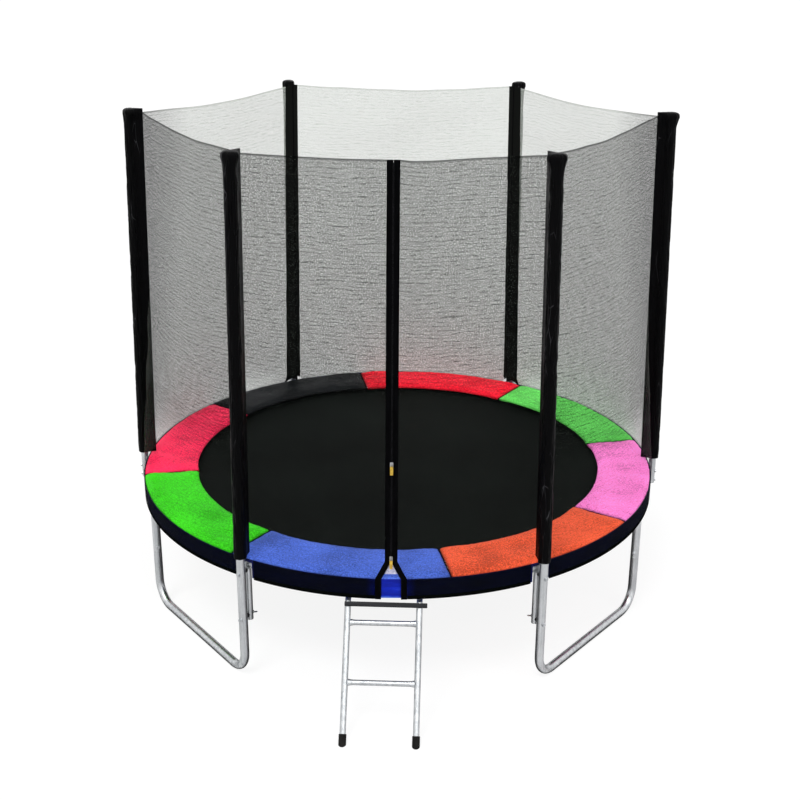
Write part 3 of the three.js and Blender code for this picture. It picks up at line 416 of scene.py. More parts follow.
def steel(name, dark, bright):
    """Zinc-coated steel between a dark and a bright tone."""
    made = material(name, bright, 0.33, Metallic=1.0)
    tree = made.node_tree
    coat = node(tree, "ShaderNodeGroup", node_tree=zinc_coat).outputs
    tone = ramp(tree, coat["Tone"], (0.34, dark), (0.72, bright))
    relief = bumped(tree, coat["Relief"], 0.00012)
    joined(made, Base_Color=tone, Roughness=coat["Dullness"], Normal=relief)
    return made


galvanised = steel("galvanised steel", srgb(180, 183, 186), srgb(234, 236, 238))

LEGS = {
    "front_left": (240, 202.5),
    "front_right": (300, 337.5),
    "back_right": (60, 22.5),
    "back_left": (120, 157.5),
}
RAIL_RADIUS, RAIL_HEIGHT, TUBE_RADIUS = 1.201, 0.528, 0.019
POLE_RADIUS_OUT, ARM_TOP, LEG_JOINT = 1.247, 0.5745, 0.265
LEG_BEND = 0.1
UP = np.array([0.0, 0.0, 1.0])

for place, (outer_angle, inner_angle) in LEGS.items():
    outer, inner = polar(POLE_RADIUS_OUT, outer_angle, 0), polar(RAIL_RADIUS, inner_angle, 0)
    span = np.linalg.norm(inner - outer)
    along = (inner - outer) / span
    bend = np.linspace(0, np.pi / 2, 14)
    reach = LEG_BEND * (1 - np.cos(bend))
    rise = LEG_BEND * (1 - np.sin(bend)) + TUBE_RADIUS
    s = np.concatenate([[0, 0, 0], reach, [span / 2], span - reach[::-1], [span, span]])
    z = np.concatenate([[ARM_TOP, 0.4, 0.2], rise, [TUBE_RADIUS], rise[::-1], [0.2, LEG_JOINT]])
    line = outer + s[:, None] * along + z[:, None] * UP
    side = np.cross(UP, along)
    shells = [with_ends(tube(line, side, TUBE_RADIUS))]
    radial = outwards(outer_angle)
    for bolt_height in (0.5, 0.285):
        seat = polar(POLE_RADIUS_OUT + TUBE_RADIUS + 0.0006, outer_angle, bolt_height)
        shells += hexagon_head(seat, radial, washer=0.0098)
    base = make(f"leg_base_{place}_tube", shells, galvanised)
    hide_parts(f"leg_base_{place}")
    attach(base, "frame")

    top = polar(RAIL_RADIUS, inner_angle, RAIL_HEIGHT - TUBE_RADIUS + 0.004)
    low = polar(RAIL_RADIUS, inner_angle, LEG_JOINT + 0.0003)
    across = roundwards(inner_angle)
    line = low + np.array([0, 0.003, 0.06, 0.5, 1])[:, None] * (top - low)
    radius = np.full(5, TUBE_RADIUS)
    radius[0] -= 0.0008
    shells = [with_ends(tube(line, across, radius))]
    bolt = polar(RAIL_RADIUS, inner_angle, LEG_JOINT + 0.03)
    shells += hexagon_head(bolt + across * (TUBE_RADIUS + 0.0004), across, washer=0.0098)
    shells += wing_nut(bolt - across * (TUBE_RADIUS - 0.001), -across, UP)
    stand = make(f"leg_upright_{place}_tube", shells, galvanised)
    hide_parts(f"leg_upright_{place}")
    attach(stand, "frame")

# ---------------------------------------------------------------------------------------------
# Top rail: a ring of the same tube in four quarters, each swaged into the next. Thin stubs are
# welded under it, and the poles and outer arms are bolted to them over black spacers.
# ---------------------------------------------------------------------------------------------

spacer_rubber = material("spacer rubber", srgb(18, 18, 20), 0.6, Specular_IOR_Level=0.15)
tree = spacer_rubber.node_tree
pores = noise(tree, 300)
joined(
    spacer_rubber,
    Base_Color=ramp(tree, pores, (0.3, srgb(14, 14, 15)), (0.75, srgb(44, 44, 46))),
    Normal=bumped(tree, pores, 0.0003),
)

STUB_RADIUS = 0.014
WELD = [(0, 0), (0, 0.0185), (0.003, 0.0168), (0.006, 0.0142), (0.006, 0)]
spacers = []
for place, middle in [("front", 270), ("right", 0), ("back", 90), ("left", 180)]:
    angles = middle + np.linspace(-45 + 0.03, 45, 73)
    radius = np.full(len(angles), TUBE_RADIUS)
    radius[[0, -1]] -= 0.0012
    shells = [with_ends(tube(polar(RAIL_RADIUS, angles, RAIL_HEIGHT), UP, radius))]
    for angle in range(0, 360, 60):
        if abs((angle - middle + 540) % 360 - 180) > 45:
            continue
        is_side = angle % 180 == 0
        low, lower_bolt = (0.436, 0.455) if is_side else (0.262, 0.285)
        pole_tube = 0.0165 if is_side else TUBE_RADIUS
        across, radial = roundwards(angle), outwards(angle)
        heights = np.array([RAIL_HEIGHT - 0.01, 0.5 * (low + RAIL_HEIGHT), low])
        stub = tube(polar(RAIL_RADIUS, angle, heights), across, STUB_RADIUS, 20)
        shells.append(with_ends(stub))
        shells.append(lathe(polar(RAIL_RADIUS, angle, 0.5115), -UP, across, WELD, 24))
        for height in (0.5, lower_bolt):
            seat = polar(RAIL_RADIUS - STUB_RADIUS - 0.0002, angle, height)
            if height == lower_bolt and not is_side:
                shells += wing_nut(seat, -radial, across)
            else:
                shells += hexagon_head(seat, -radial)
            start = polar(RAIL_RADIUS + STUB_RADIUS - 0.002, angle, height)
            gap = POLE_RADIUS_OUT - pole_tube - RAIL_RADIUS - STUB_RADIUS + 0.003
            along = np.array([0, 0, 0.15, 0.85, 1, 1]) * gap
            girth = [0, 0.0088, 0.0095, 0.0095, 0.0088, 0]
            spacers.append(lathe(start, radial, across, np.column_stack([along, girth]), 20))
    quarter = make(f"rail_{place}_tube", shells, galvanised)
    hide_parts(f"top_rail_{place}")
    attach(quarter, "frame")

spacer_set = make("pole_spacers", spacers, spacer_rubber)
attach(spacer_set, "frame")

# ---------------------------------------------------------------------------------------------
# Enclosure poles: six steel tubes that stand in the leg arms, or at the sides on two bolts. They
# bend a little above the pads, so that the net pulls their tops inwards.
# ---------------------------------------------------------------------------------------------

POLE_TUBE, POLE_BEND, SLEEVE_TOP, POLE_LEAN = 0.0166, 0.62, 2.236, 0.047
POLES = ["right", "back_right", "back_left", "left", "front_left", "front_right"]


def pole_radius(height):
    """How far a pole's middle stands from the ring's middle at a height."""
    over = np.maximum(0, np.asarray(height, float) - POLE_BEND)
    return POLE_RADIUS_OUT - POLE_LEAN * over / (SLEEVE_TOP - POLE_BEND)


for i, place in enumerate(POLES):
    angle = 60 * i
    across, radial = roundwards(angle), outwards(angle)
    low = 0.44 if i % 3 == 0 else 0.5145
    heights = np.concatenate([[low, 0.55], np.linspace(0.6, 0.64, 5), [1.2, 2.2275]])
    shells = [with_ends(tube(polar(pole_radius(heights), angle, heights), across, POLE_TUBE))]
    if i % 3 == 0:
        for height in (0.5, 0.455):
            seat = polar(POLE_RADIUS_OUT + POLE_TUBE + 0.0004, angle, height)
            shells += hexagon_head(seat, radial, 0.0072, 0.005, washer=0.0092)
    pole = make(f"pole_{place}_tube", shells, galvanised)
    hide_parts(f"pole_{place}")
    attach(pole, "frame")

# ---------------------------------------------------------------------------------------------
# Springs: forty-eight coils of hard steel wire, each hooked into a triangular ring on the mat's
# edge at one end and through a slot in the rail at the other.
# ---------------------------------------------------------------------------------------------

spring_wire = steel("spring wire", srgb(120, 122, 124), srgb(205, 208, 210))
MAT_MIDDLE, MAT_RADIUS = 0.5315, 1.03
SPRINGS, SPRING_TURNS, COIL_RADIUS, WIRE = 48, 20, 0.0056, 0.0013
COIL_START, COIL_END = 1.054, 1.168


def wire_along(line, thickness, sides):
    """Wire round a line in space, wrapped with flat = run x up and out = flat x run, where run is
    the line's direction. Where the line stands upright, flat is the X axis."""
    run = unit(np.gradient(line, axis=0))
    flat = np.cross(run, UP)
    flat[np.linalg.norm(flat, axis=1) < 1e-3] = [1, 0, 0]
    flat = unit(flat)
    return wrapped(line, np.cross(flat, run), flat, thickness, sides)


def capped(grid, first_out=0.0, last_out=0.0):
    """A tube closed at both ends with a point, which may stand out from the end's middle."""
    first = np.broadcast_to(grid[0].mean(0) + first_out, grid[:1].shape)
    last = np.broadcast_to(grid[-1].mean(0) + last_out, grid[:1].shape)
    return surface(np.concatenate([first, grid, last]), round_columns=True)


def by_the_edge(angle, out, side, up):
    """Points near the mat's edge at an angle: out from the ring's middle, sideways, and up."""
    out, side, up = (np.asarray(reach)[..., None] for reach in (out, side, up))
    return polar(0, angle, MAT_MIDDLE) + out * outwards(angle) + side * roundwards(angle) + up * UP


steps = np.linspace(0, 1, SPRING_TURNS * 9)
coil_turn = steps * SPRING_TURNS * 2 * np.pi
coil_out = COIL_START + steps * (COIL_END - COIL_START)
hook_in, hook_end = np.linspace(1.0405, 1.0525, 4), np.linspace(1.1695, 1.1812, 4)
spring_out = np.concatenate([hook_in, coil_out, hook_end])
swell = np.clip(np.minimum(steps, 1 - steps) * 14, 0, 1) * COIL_RADIUS
spring_side = np.concatenate([np.zeros(4), swell * np.cos(coil_turn), np.zeros(4)])
spring_up = np.concatenate([np.zeros(4), swell * np.sin(coil_turn), np.zeros(4)])
for i in range(SPRINGS):
    angle = 360 / SPRINGS * i
    line = by_the_edge(angle, spring_out, spring_side, spring_up)
    spring = make(f"spring_{i:02d}", [capped(wire_along(line, WIRE, 5))], spring_wire)
    if i == 0:
        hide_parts("spring_set")
    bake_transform(spring)

# ---------------------------------------------------------------------------------------------
# Jumping mat: one disc of black woven plastic yarn, pulled flat by the springs. Its edge is folded
# under a sewn band, which holds the triangular steel rings in short loops.
# ---------------------------------------------------------------------------------------------


def ribbed(tree, place, pitch, direction, distortion, wander=1.0):
    """Height of even ribs, one in each pitch of so many metres. The waves of the texture lie
    0.314159 / Scale apart."""
    inputs = {"Vector": place, "Scale": 0.314159 / pitch}
    inputs |= {"Distortion": distortion, "Detail Scale": wander}
    return node(tree, "ShaderNodeTexWave", inputs, bands_direction=direction).outputs["Fac"]


def weave(tree, place, pitch, slant=0.0):
    """Height of a plain weave: rows of yarn that pass over and under, from two crossing waves."""
    inputs = {"Vector": place, "Rotation": (0, 0, slant)}
    slanted = node(tree, "ShaderNodeMapping", inputs).outputs[0]
    warp, weft = (ribbed(tree, slanted, pitch, axis, 0.25, 40) for axis in ("X", "Y"))
    return maths(tree, "MAXIMUM", warp, weft)


mat_cloth = material("mat cloth", srgb(14, 16, 15), 0.7, Specular_IOR_Level=0.02)
tree = mat_cloth.node_tree
bloom = noise(tree, 2.2, 5, 0.55)
shade = maths(tree, "MULTIPLY_ADD", noise(tree, 190, 2), 0.4, bloom)
joined(
    mat_cloth,
    Base_Color=ramp(tree, shade, (0.45, srgb(10, 12, 11)), (0.95, srgb(24, 28, 26))),
    Roughness=between(tree, bloom, 0, 1, 0.6, 0.78),
    Normal=bumped(tree, weave(tree, coordinates(tree, "Object"), 0.0026), 0.0005, 0.6),
)

rings = np.concatenate([[0.0], np.linspace(0.05, MAT_RADIUS, 30)])
turn = np.linspace(0, 360, 192, endpoint=False)
mat_grid = polar(rings[:, None], turn[None, :], 0.5318)
ripple = np.sin(np.radians(turn) * SPRINGS)
mat_grid[..., 2] -= 0.0006 * ripple * (rings[:, None] / MAT_RADIUS) ** 12
# The innermost ring is one point many times over, which closed=True merges.
mat = make("mat_sheet", [surface(mat_grid, round_columns=True)], mat_cloth, closed=True)
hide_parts("jumping_mat")
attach(mat, "mat")

webbing = material("edge webbing", srgb(16, 17, 18), 0.72, Specular_IOR_Level=0.03)
tree = webbing.node_tree
spot = coordinates(tree, "UV")
ribs = ribbed(tree, spot, 0.0022, "DIAGONAL", 0.4)
lay = node(tree, "ShaderNodeSeparateXYZ", {"Vector": spot}).outputs
in_row = maths(tree, "LESS_THAN", maths(tree, "PINGPONG", lay["Y"], 0.009), 0.0012)
thread = maths(tree, "LESS_THAN", maths(tree, "PINGPONG", lay["X"], 0.0035), 0.0024)
stitch = maths(tree, "MULTIPLY", in_row, thread)
relief = maths(tree, "MULTIPLY_ADD", stitch, 1.5, ribs)
joined(
    webbing,
    Base_Color=ramp(tree, stitch, (0.0, srgb(20, 21, 22)), (1.0, srgb(74, 76, 78))),
    Normal=bumped(tree, relief, 0.0004),
)

band_radius = np.array([0.9902, 0.9906, 0.9998, 1.0102, 1.0204, 1.0294, 1.0298])
band_rise = np.array([0.0, 0.0010, 0.0015, 0.0012, 0.0015, 0.0010, 0.0])
band_grid = polar(band_radius[:, None], turn[None, :], 0.5333 + band_rise[:, None])
band_uv = together(np.radians(turn)[None, :] * 1.01, band_radius[:, None])
points, faces = surface(band_grid, round_columns=True)
shell = (points, faces[:, ::-1])
band = make("mat_edge_webbing", [shell], webbing, closed=False, uv=band_uv)
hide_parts("mat_edge_band")
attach(band, "mat")


def wire_ring(line, flat, radius, sides):
    """Wire round a closed line that lies in a plane with the normal flat, wrapped as tube is."""
    run = unit(np.roll(line, -1, 0) - np.roll(line, 1, 0))
    rings = wrapped(line, np.cross(flat, run), flat, radius, sides)
    return surface(rings, round_rows=True, round_columns=True)


LAP_RADIUS, LOOP_START, LOOP_END = 0.0028, 1.012, 1.0296
loop = full_turn(18)
corner_pull = 1 + 0.28 * np.cos(3 * (loop - np.pi))
ring_out = 1.0352 - 0.0062 * np.cos(loop) * corner_pull
ring_side = 0.0105 * np.sin(loop) * corner_pull
lap = np.linspace(-np.pi / 2, np.pi / 2, 9)
lap_out = np.concatenate([[LOOP_START], LOOP_END + LAP_RADIUS * np.cos(lap), [LOOP_START]])
lap_up = np.concatenate([[-LAP_RADIUS], LAP_RADIUS * np.sin(lap), [0.0031]])
lap_side = np.linspace(-0.0075, 0.0075, 4)
ring_shells, loop_shells = [], []
for i in range(SPRINGS):
    angle = 360 / SPRINGS * i
    line = by_the_edge(angle, ring_out, ring_side, 0.0)
    ring_shells.append(wire_ring(line, UP, 0.0016, 6))
    strap = by_the_edge(angle, lap_out[:, None], lap_side[None, :], lap_up[:, None])
    loop_shells.append(surface(strap))
mat_rings = make("mat_rings", ring_shells, spring_wire)
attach(mat_rings, "mat")
loop_points = gathered(loop_shells)[0]
loops = make("mat_ring_loops", loop_shells, webbing, closed=False, uv=loop_points[:, :2])
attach(loops, "mat")

# ---------------------------------------------------------------------------------------------
# Cover pads: eight foam panels in grained plastic-coated cloth, laid over the springs and laced
# together. Each is a full pillow at its crown and drawn in along its seams.
# ---------------------------------------------------------------------------------------------

PAD_INNER, PAD_MIDDLE, PAD_OUTER, PAD_UNDER, PAD_CROWN = 0.964, 1.09, 1.2194, 0.5473, 0.026
PAD_HALF_DEG = 22.5 - np.degrees(0.0015 / PAD_MIDDLE)
FIRST_SEAM_DEG = 11.5
LADDER_TURN, LADDER_HALF = np.radians(-1.4), 0.145
# The second number of each pad is the strength of its painted glow, which only the camera sees.
PADS = {
    "green_right": ((96, 204, 88), 0.66, "pad_green_light"),
    "red_back": ((246, 28, 50), 0.62, "pad_red"),
    "black_back": ((19, 21, 24), 0.15, "pad_black"),
    "crimson_left": ((236, 42, 82), 0.85, "pad_crimson"),
    "green_left": ((62, 214, 32), 0.38, "pad_green_bright"),
    "blue_front": ((76, 106, 206), 0.38, "pad_blue"),
    "orange_front": ((240, 92, 58), 0.38, "pad_orange"),
    "pink_right": ((248, 126, 202), 0.5, "pad_pink"),
}


def waves(place, seed, count, lowest, highest):
    """Smooth uneven swell from -1 to 1: the mean of count sines in chance directions, whose
    lengths lie between 1 / highest and 1 / lowest metres."""
    rng = np.random.default_rng(seed)
    way = rng.normal(size=(count, place.shape[-1]))
    way *= (rng.uniform(lowest, highest, count) / np.linalg.norm(way, axis=1))[:, None]
    phase = rng.uniform(0, 2 * np.pi, count)
    return np.sin(2 * np.pi * place @ way.T + phase).sum(-1) / np.sqrt(count)


def squared(value, power):
    """A sine or cosine pushed towards -1 and 1, which squares off the oval that it draws."""
    return np.sign(value) * np.abs(value) ** power


def pad_slab(crown, inset):
    """Pillow over an eighth of the ring, about the X axis: a squared oval section that goes round
    the ring, and that is lower at its two ends."""
    place, turn = np.linspace(-1, 1, 61)[:, None], full_turn(64)
    full = 0.6 + 0.4 * np.clip((1 - np.abs(place)) / 0.16, 0, 1) ** 0.6
    half = (PAD_OUTER - PAD_INNER) / 2 - inset
    radius = (PAD_OUTER + PAD_INNER) / 2 + half * squared(np.cos(turn), 0.42)
    height = PAD_UNDER + crown / 2 * full * (1 + squared(np.sin(turn), 0.62))
    angle = np.radians(place * (PAD_HALF_DEG - np.degrees(inset / PAD_MIDDLE)))
    return capped(together(radius * np.cos(angle), radius * np.sin(angle), height))


def points_of(mesh):
    """All of a mesh's points as one array."""
    flat = np.empty(3 * len(mesh.vertices), np.float32)
    mesh.vertices.foreach_get("co", flat)
    return flat.reshape(-1, 3).astype(float)


def finished(piece):
    """The piece as its modifiers leave it."""
    return piece.evaluated_get(bpy.context.evaluated_depsgraph_get())


def blown_up(piece, pressure, furthest, frames):
    """The piece's points after its cloth was filled with air for some frames. Gravity is off, and
    no point moves further than furthest."""
    start = points_of(piece.data)
    cloth = piece.modifiers.new("cloth", "CLOTH")
    cloth.settings.use_pressure = True
    cloth.settings.uniform_pressure_force = pressure
    cloth.settings.effector_weights.gravity = 0
    cloth.settings.quality = 4
    cloth.point_cache.frame_start = 1
    cloth.point_cache.frame_end = frames
    for step in range(1, frames + 1):
        scene.frame_set(step)
    move = points_of(finished(piece).data) - start
    piece.modifiers.remove(cloth)
    scene.frame_set(1)
    far = np.linalg.norm(move, axis=1)
    return start + move * np.minimum(1, furthest / np.maximum(far, 1e-9))[:, None]


def paint(mesh, name, values):
    """Gives each point of a mesh a named number, for painted to read."""
    values = values.ravel().astype(np.float32)
    mesh.attributes.new(name, "FLOAT", "POINT").data.foreach_set("value", values)


def painted(tree, name):
    """The number that paint gave the points under a name."""
    return node(tree, "ShaderNodeAttribute", attribute_name=name).outputs["Fac"]


def dimmed(tree, colour, share):
    """A colour times a number."""
    inputs = {0: colour, "Scale": share}
    return node(tree, "ShaderNodeVectorMath", inputs, operation="SCALE").outputs[0]


# The coat of the cloth: fine pebbles and grain, soft creases and wide worn places.
grained = bpy.data.node_groups.new("grained coat", "ShaderNodeTree")
cells = {"Vector": coordinates(grained, "Object"), "Scale": 260}
pebbles = node(grained, "ShaderNodeTexVoronoi", cells).outputs["Distance"]
grain = noise(grained, 150, 3, 0.6)
grain_tone = maths(grained, "MULTIPLY", grain, 0.55)
tone = maths(grained, "MULTIPLY_ADD", noise(grained, 3.5, 4), 0.45, grain_tone)
rise = maths(grained, "MULTIPLY_ADD", noise(grained, 16, 4, 0.65), 0.9, grain)
rise = maths(grained, "MULTIPLY_ADD", pebbles, 0.6, rise)
group_ends(grained, Tone=tone, Dullness=between(grained, grain, 0, 1, 0.36, 0.58), Relief=rise)


def coated_cloth(name, colour, lift):
    """Plastic-coated cloth in one colour, a little darker in its pores, with painted shade along
    its seams and edges, and paler where rubbed. The camera sees it lifted by a painted glow of its
    own."""
    made = material(name, srgb(*colour), 0.45, Specular_IOR_Level=0.06, Emission_Strength=lift)
    tree = made.node_tree
    coat = node(tree, "ShaderNodeGroup", node_tree=grained).outputs
    deep = srgb(*(0.76 * c for c in colour))
    pale = srgb(*(min(255, 1.08 * c + 8) for c in colour))
    dyed = ramp(tree, coat["Tone"], (0.4, deep), (0.5, srgb(*colour)), (0.64, pale))
    # Painted shade: the colour darkens towards the pad's seams and edges, as far as the painted rim
    # value says.
    dyed = dimmed(tree, dyed, maths(tree, "MULTIPLY_ADD", painted(tree, "rim"), -0.85, 1))
    # Painted glow: the pad gives off its own colour as light, to camera rays only, with the
    # strength lift.
    painted_glow_share = node(tree, "ShaderNodeLightPath").outputs["Is Camera Ray"]
    joined(
        made,
        Base_Color=dyed,
        Emission_Color=dimmed(tree, dyed, painted_glow_share),
        Roughness=coat["Dullness"],
        Normal=bumped(tree, coat["Relief"], 0.0006, 0.6),
    )
    return made


pad_master = make("pad_master", [pad_slab(PAD_CROWN - 0.004, 0.004)], mat_cloth, sharp=180)
remesh = pad_master.modifiers.new("even", "REMESH")
remesh.mode = "VOXEL"
remesh.voxel_size = 0.0065
even = bpy.data.meshes.new_from_object(finished(pad_master))
pad_master.modifiers.remove(remesh)
pad_master.data = even
filling = {"pressure": 4.0, "furthest": 0.007, "frames": 20}
pad_points = blown_up(pad_master, **filling)


def puckers(along, pitch, phase, drift, from_seam, reach):
    """How deep a seam draws in the cloth beside it, from 0 to 1: folds a pitch apart, each
    (1 + sin) / 2, that fade as e ** (-distance / reach)."""
    folds = 0.5 + 0.5 * np.sin(along * 2 * np.pi / pitch + phase + drift)
    return folds * np.exp(-np.maximum(from_seam, 0) / reach)


for i, (name, (colour, lift, slot)) in enumerate(PADS.items()):
    middle = 34 + 45 * i
    mesh = even.copy()
    points = pad_points.copy()
    if middle % 2 == 0:
        points[:, 1] *= -1
        mesh.flip_normals()
    radius, angle = np.hypot(points[:, 0], points[:, 1]), np.arctan2(points[:, 1], points[:, 0])
    angle *= np.radians(PAD_HALF_DEG) / np.quantile(np.abs(angle), 0.998)
    radius = PAD_INNER + (radius - radius.min()) * (PAD_OUTER - PAD_INNER) / np.ptp(radius)
    height = points[:, 2]
    upper = np.clip((height - PAD_UNDER) / PAD_CROWN, 0, 1)
    end_gap = (np.radians(PAD_HALF_DEG) - np.abs(angle)) * radius
    side_gap = np.minimum(radius - PAD_INNER, PAD_OUTER - radius)
    drift, round_drift = 1.5 * np.sin(radius * 90 + middle), 2 * np.sin(angle * 31 + middle)
    height = height - 0.0042 * upper * puckers(radius, 0.031, middle, drift, end_gap, 0.022)
    tucks = puckers(angle * PAD_MIDDLE, 0.046, middle, round_drift, side_gap, 0.016)
    height = height - 0.0030 * upper * tucks
    dents = waves(together(radius, angle * PAD_MIDDLE), middle, 7, 2, 9)
    height = height + upper * (0.0019 * dents - 0.001)
    height = np.clip(height, PAD_UNDER + 0.0002, PAD_UNDER + PAD_CROWN + 0.003)
    radius = np.clip(radius, PAD_INNER - 0.002, PAD_OUTER)
    limit = np.radians(PAD_HALF_DEG - 0.02)
    angle = np.clip(angle, -limit, limit)
    placed = polar(radius, np.degrees(angle) + middle, height)
    if name in ("orange_front", "blue_front"):
        # The pad's underside stays clear of the ladder's hooks where they go over the rail.
        x, y = placed[:, 0], placed[:, 1] - RING_Y
        across = x * np.cos(LADDER_TURN) + y * np.sin(LADDER_TURN)
        inward = y * np.cos(LADDER_TURN) - x * np.sin(LADDER_TURN)
        over_hook = np.maximum(np.abs(np.abs(across) - LADDER_HALF) - 0.014, 0) / 0.01
        over_rail = np.maximum(np.abs(np.abs(inward) - 1.192) - 0.03, 0) / 0.01
        lifted = 0.0118 * np.clip(1 - over_hook, 0, 1) * np.clip(1 - over_rail, 0, 1) * (inward < 0)
        placed[:, 2] = np.maximum(placed[:, 2], PAD_UNDER + lifted)
    mesh.vertices.foreach_set("co", placed.astype(np.float32).ravel())
    # How near each point lies to a seam or an edge, for the painted shade there.
    nearest = np.minimum(np.maximum(end_gap, 0), side_gap + 0.3 * (PAD_OUTER - radius < 0.1))
    paint(mesh, "rim", np.exp(-np.clip(nearest - 0.001, 0, 1) / 0.0045))
    mesh.update()
    mesh.shade_smooth()
    mesh.materials.clear()
    mesh.materials.append(coated_cloth(f"coated cloth {name}", colour, lift))
    pad = bpy.data.objects.new(f"pad_{name}_cover", mesh)
    scene.collection.objects.link(pad)
    smooth = pad.modifiers.new("smooth", "SUBSURF")
    smooth.levels = smooth.render_levels = 1
    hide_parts(f"pad_{name}")
    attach(pad, "frame")
bpy.data.objects.remove(pad_master)

binding_cloth = material("seam binding", srgb(8, 8, 12), 0.7, Specular_IOR_Level=0.03)
tree = binding_cloth.node_tree
ribs = noise(tree, (400, 400, 60))
joined(
    binding_cloth,
    Base_Color=ramp(tree, ribs, (0.3, srgb(7, 7, 9)), (0.8, srgb(36, 36, 42))),
    Normal=bumped(tree, ribs, 0.0004),
)
reach = np.linspace(PAD_INNER + 0.004, PAD_OUTER - 0.004, 30)
sides, tall = np.array([-1.0, -1.0, 1.0, 1.0]), np.array([0.0, 1.0, 1.0, 0.0])
bindings = []
for i in range(len(PADS)):
    seam = FIRST_SEAM_DEG + 45 * i
    crest = 0.0125 + 0.0012 * np.sin(reach * 2 * np.pi / 0.031 + i)
    middle = polar(reach, seam, PAD_UNDER - 0.001)
    strip = middle[:, None] + 0.0017 * sides[:, None] * roundwards(seam)
    bindings.append(capped(strip + (crest[:, None] * tall)[..., None] * UP))
binding = make("pad_seam_bindings", bindings, binding_cloth)
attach(binding, "frame")

# ---------------------------------------------------------------------------------------------
# Skirt: a strip of blue coated cloth sewn under the pads' outer edge. It hangs over the rail and
# is cut out round each pole.
# ---------------------------------------------------------------------------------------------

SKIRT_RADIUS = 1.2216
DOOR_DEG = 270
skirt_cloth = material("skirt cloth", srgb(14, 34, 186), 0.5, Specular_IOR_Level=0.15)
tree = skirt_cloth.node_tree
spot = coordinates(tree, "UV")
lay = node(tree, "ShaderNodeSeparateXYZ", {"Vector": spot}).outputs
threads = weave(tree, spot, 0.002)
folds = noise(tree, (6, 30, 1), 4, 0.6, kind="UV")
near_hem = between(tree, lay["Y"], 0.48, 0.488, 1, 0)
tint = maths(tree, "MULTIPLY_ADD", near_hem, 0.25, folds)
blues = [(0.3, srgb(4, 18, 140)), (0.62, srgb(14, 44, 205)), (0.9, srgb(86, 128, 236))]
# Painted shade: away from the door the blue is darkened to near black, as in the shade under the
# pads' edge and the net's foot.
from_door = maths(tree, "SUBTRACT", lay["X"], 1.5 * np.pi * SKIRT_RADIUS)
painted_shade_off_door = between(tree, maths(tree, "ABSOLUTE", from_door), 0.06, 0.1, 1, 0.13)
joined(
    skirt_cloth,
    Base_Color=dimmed(tree, ramp(tree, tint, *blues), painted_shade_off_door),
    Normal=bumped(tree, maths(tree, "MULTIPLY_ADD", folds, 3, threads), 0.0007),
)

NOTCH_DEG = np.degrees(0.036 / SKIRT_RADIUS)
notch_sides = (np.arange(0, 360, 60)[:, None] + np.array([-NOTCH_DEG, NOTCH_DEG])).ravel() % 360
turn = np.unique(np.concatenate([np.arange(0, 360, 1.0), notch_sides]))
heights = np.concatenate([[0.561, 0.5535, 0.546], np.linspace(0.54, 0.475, 8)])
flutter = 0.0008 * np.sin(np.radians(turn) * 31 + 2 * np.sin(np.radians(turn) * 7))
depth = np.linspace(0, 1, len(heights)) ** 1.2
grid = polar(SKIRT_RADIUS + depth[:, None] * flutter, turn[None, :], heights[:, None])
points, faces = surface(grid, round_columns=True)
uv = together(np.radians(turn)[None, :] * SKIRT_RADIUS, heights[:, None])
row, column = np.divmod(np.arange(len(faces)), len(turn))
next_turn = np.append(turn[1:], turn[0] + 360)
from_pole = np.abs(((turn + next_turn) / 2 + 30) % 60 - 30)
keep = (from_pole[column] > NOTCH_DEG) | (heights[row] > 0.5461)
skirt = make("skirt_cloth", [(points, faces[keep][:, ::-1])], skirt_cloth, closed=False, uv=uv)
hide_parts("skirt")
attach(skirt, "frame")

# ---------------------------------------------------------------------------------------------
# Pole sleeves: tubes of shiny black cloth over thin foam, pulled down over the poles. They are
# rumpled, their roof is folded over the pole's end, and the net is sewn to their inner seam.
# ---------------------------------------------------------------------------------------------

sleeve_cloth = material("sleeve cloth", srgb(3, 3, 4), 0.36, Specular_IOR_Level=0.05)
tree = sleeve_cloth.node_tree
threads = weave(tree, coordinates(tree, "UV"), 0.0016)
wander = noise(tree, (9, 5, 1), kind="UV", output="Color")
bent = {0: wander, 1: (0.9, 0.9, 0.9), 2: stretched(tree, (46, 7, 1), "UV")}
drawn = node(tree, "ShaderNodeVectorMath", bent, operation="MULTIPLY_ADD").outputs[0]
cells = {"Vector": drawn, "Scale": 1}
cracks = node(tree, "ShaderNodeTexVoronoi", cells, feature="DISTANCE_TO_EDGE").outputs["Distance"]
ridge = between(tree, cracks, 0, 0.09, 1, 0)
ridge = maths(tree, "POWER", ridge, 5)
crumple = noise(tree, (40, 18, 1), 5, 0.65, kind="UV")
relief = maths(tree, "MULTIPLY_ADD", crumple, 1.6, ridge)
relief = maths(tree, "MULTIPLY_ADD", threads, 0.12, relief)
# Painted highlights: thin pale lines along the crease ridges, in patches.
patches = between(tree, noise(tree, (14, 3, 1), 2, kind="UV"), 0.56, 0.72)
painted_crease_highlight = maths(tree, "MULTIPLY", ridge, patches)
joined(
    sleeve_cloth,
    Base_Color=ramp(tree, painted_crease_highlight, (0.1, srgb(2, 2, 3)), (0.9, srgb(92, 92, 96))),
    Roughness=between(tree, crumple, 0, 1, 0.28, 0.5),
    Normal=bumped(tree, relief, 0.0014, 0.7),
)

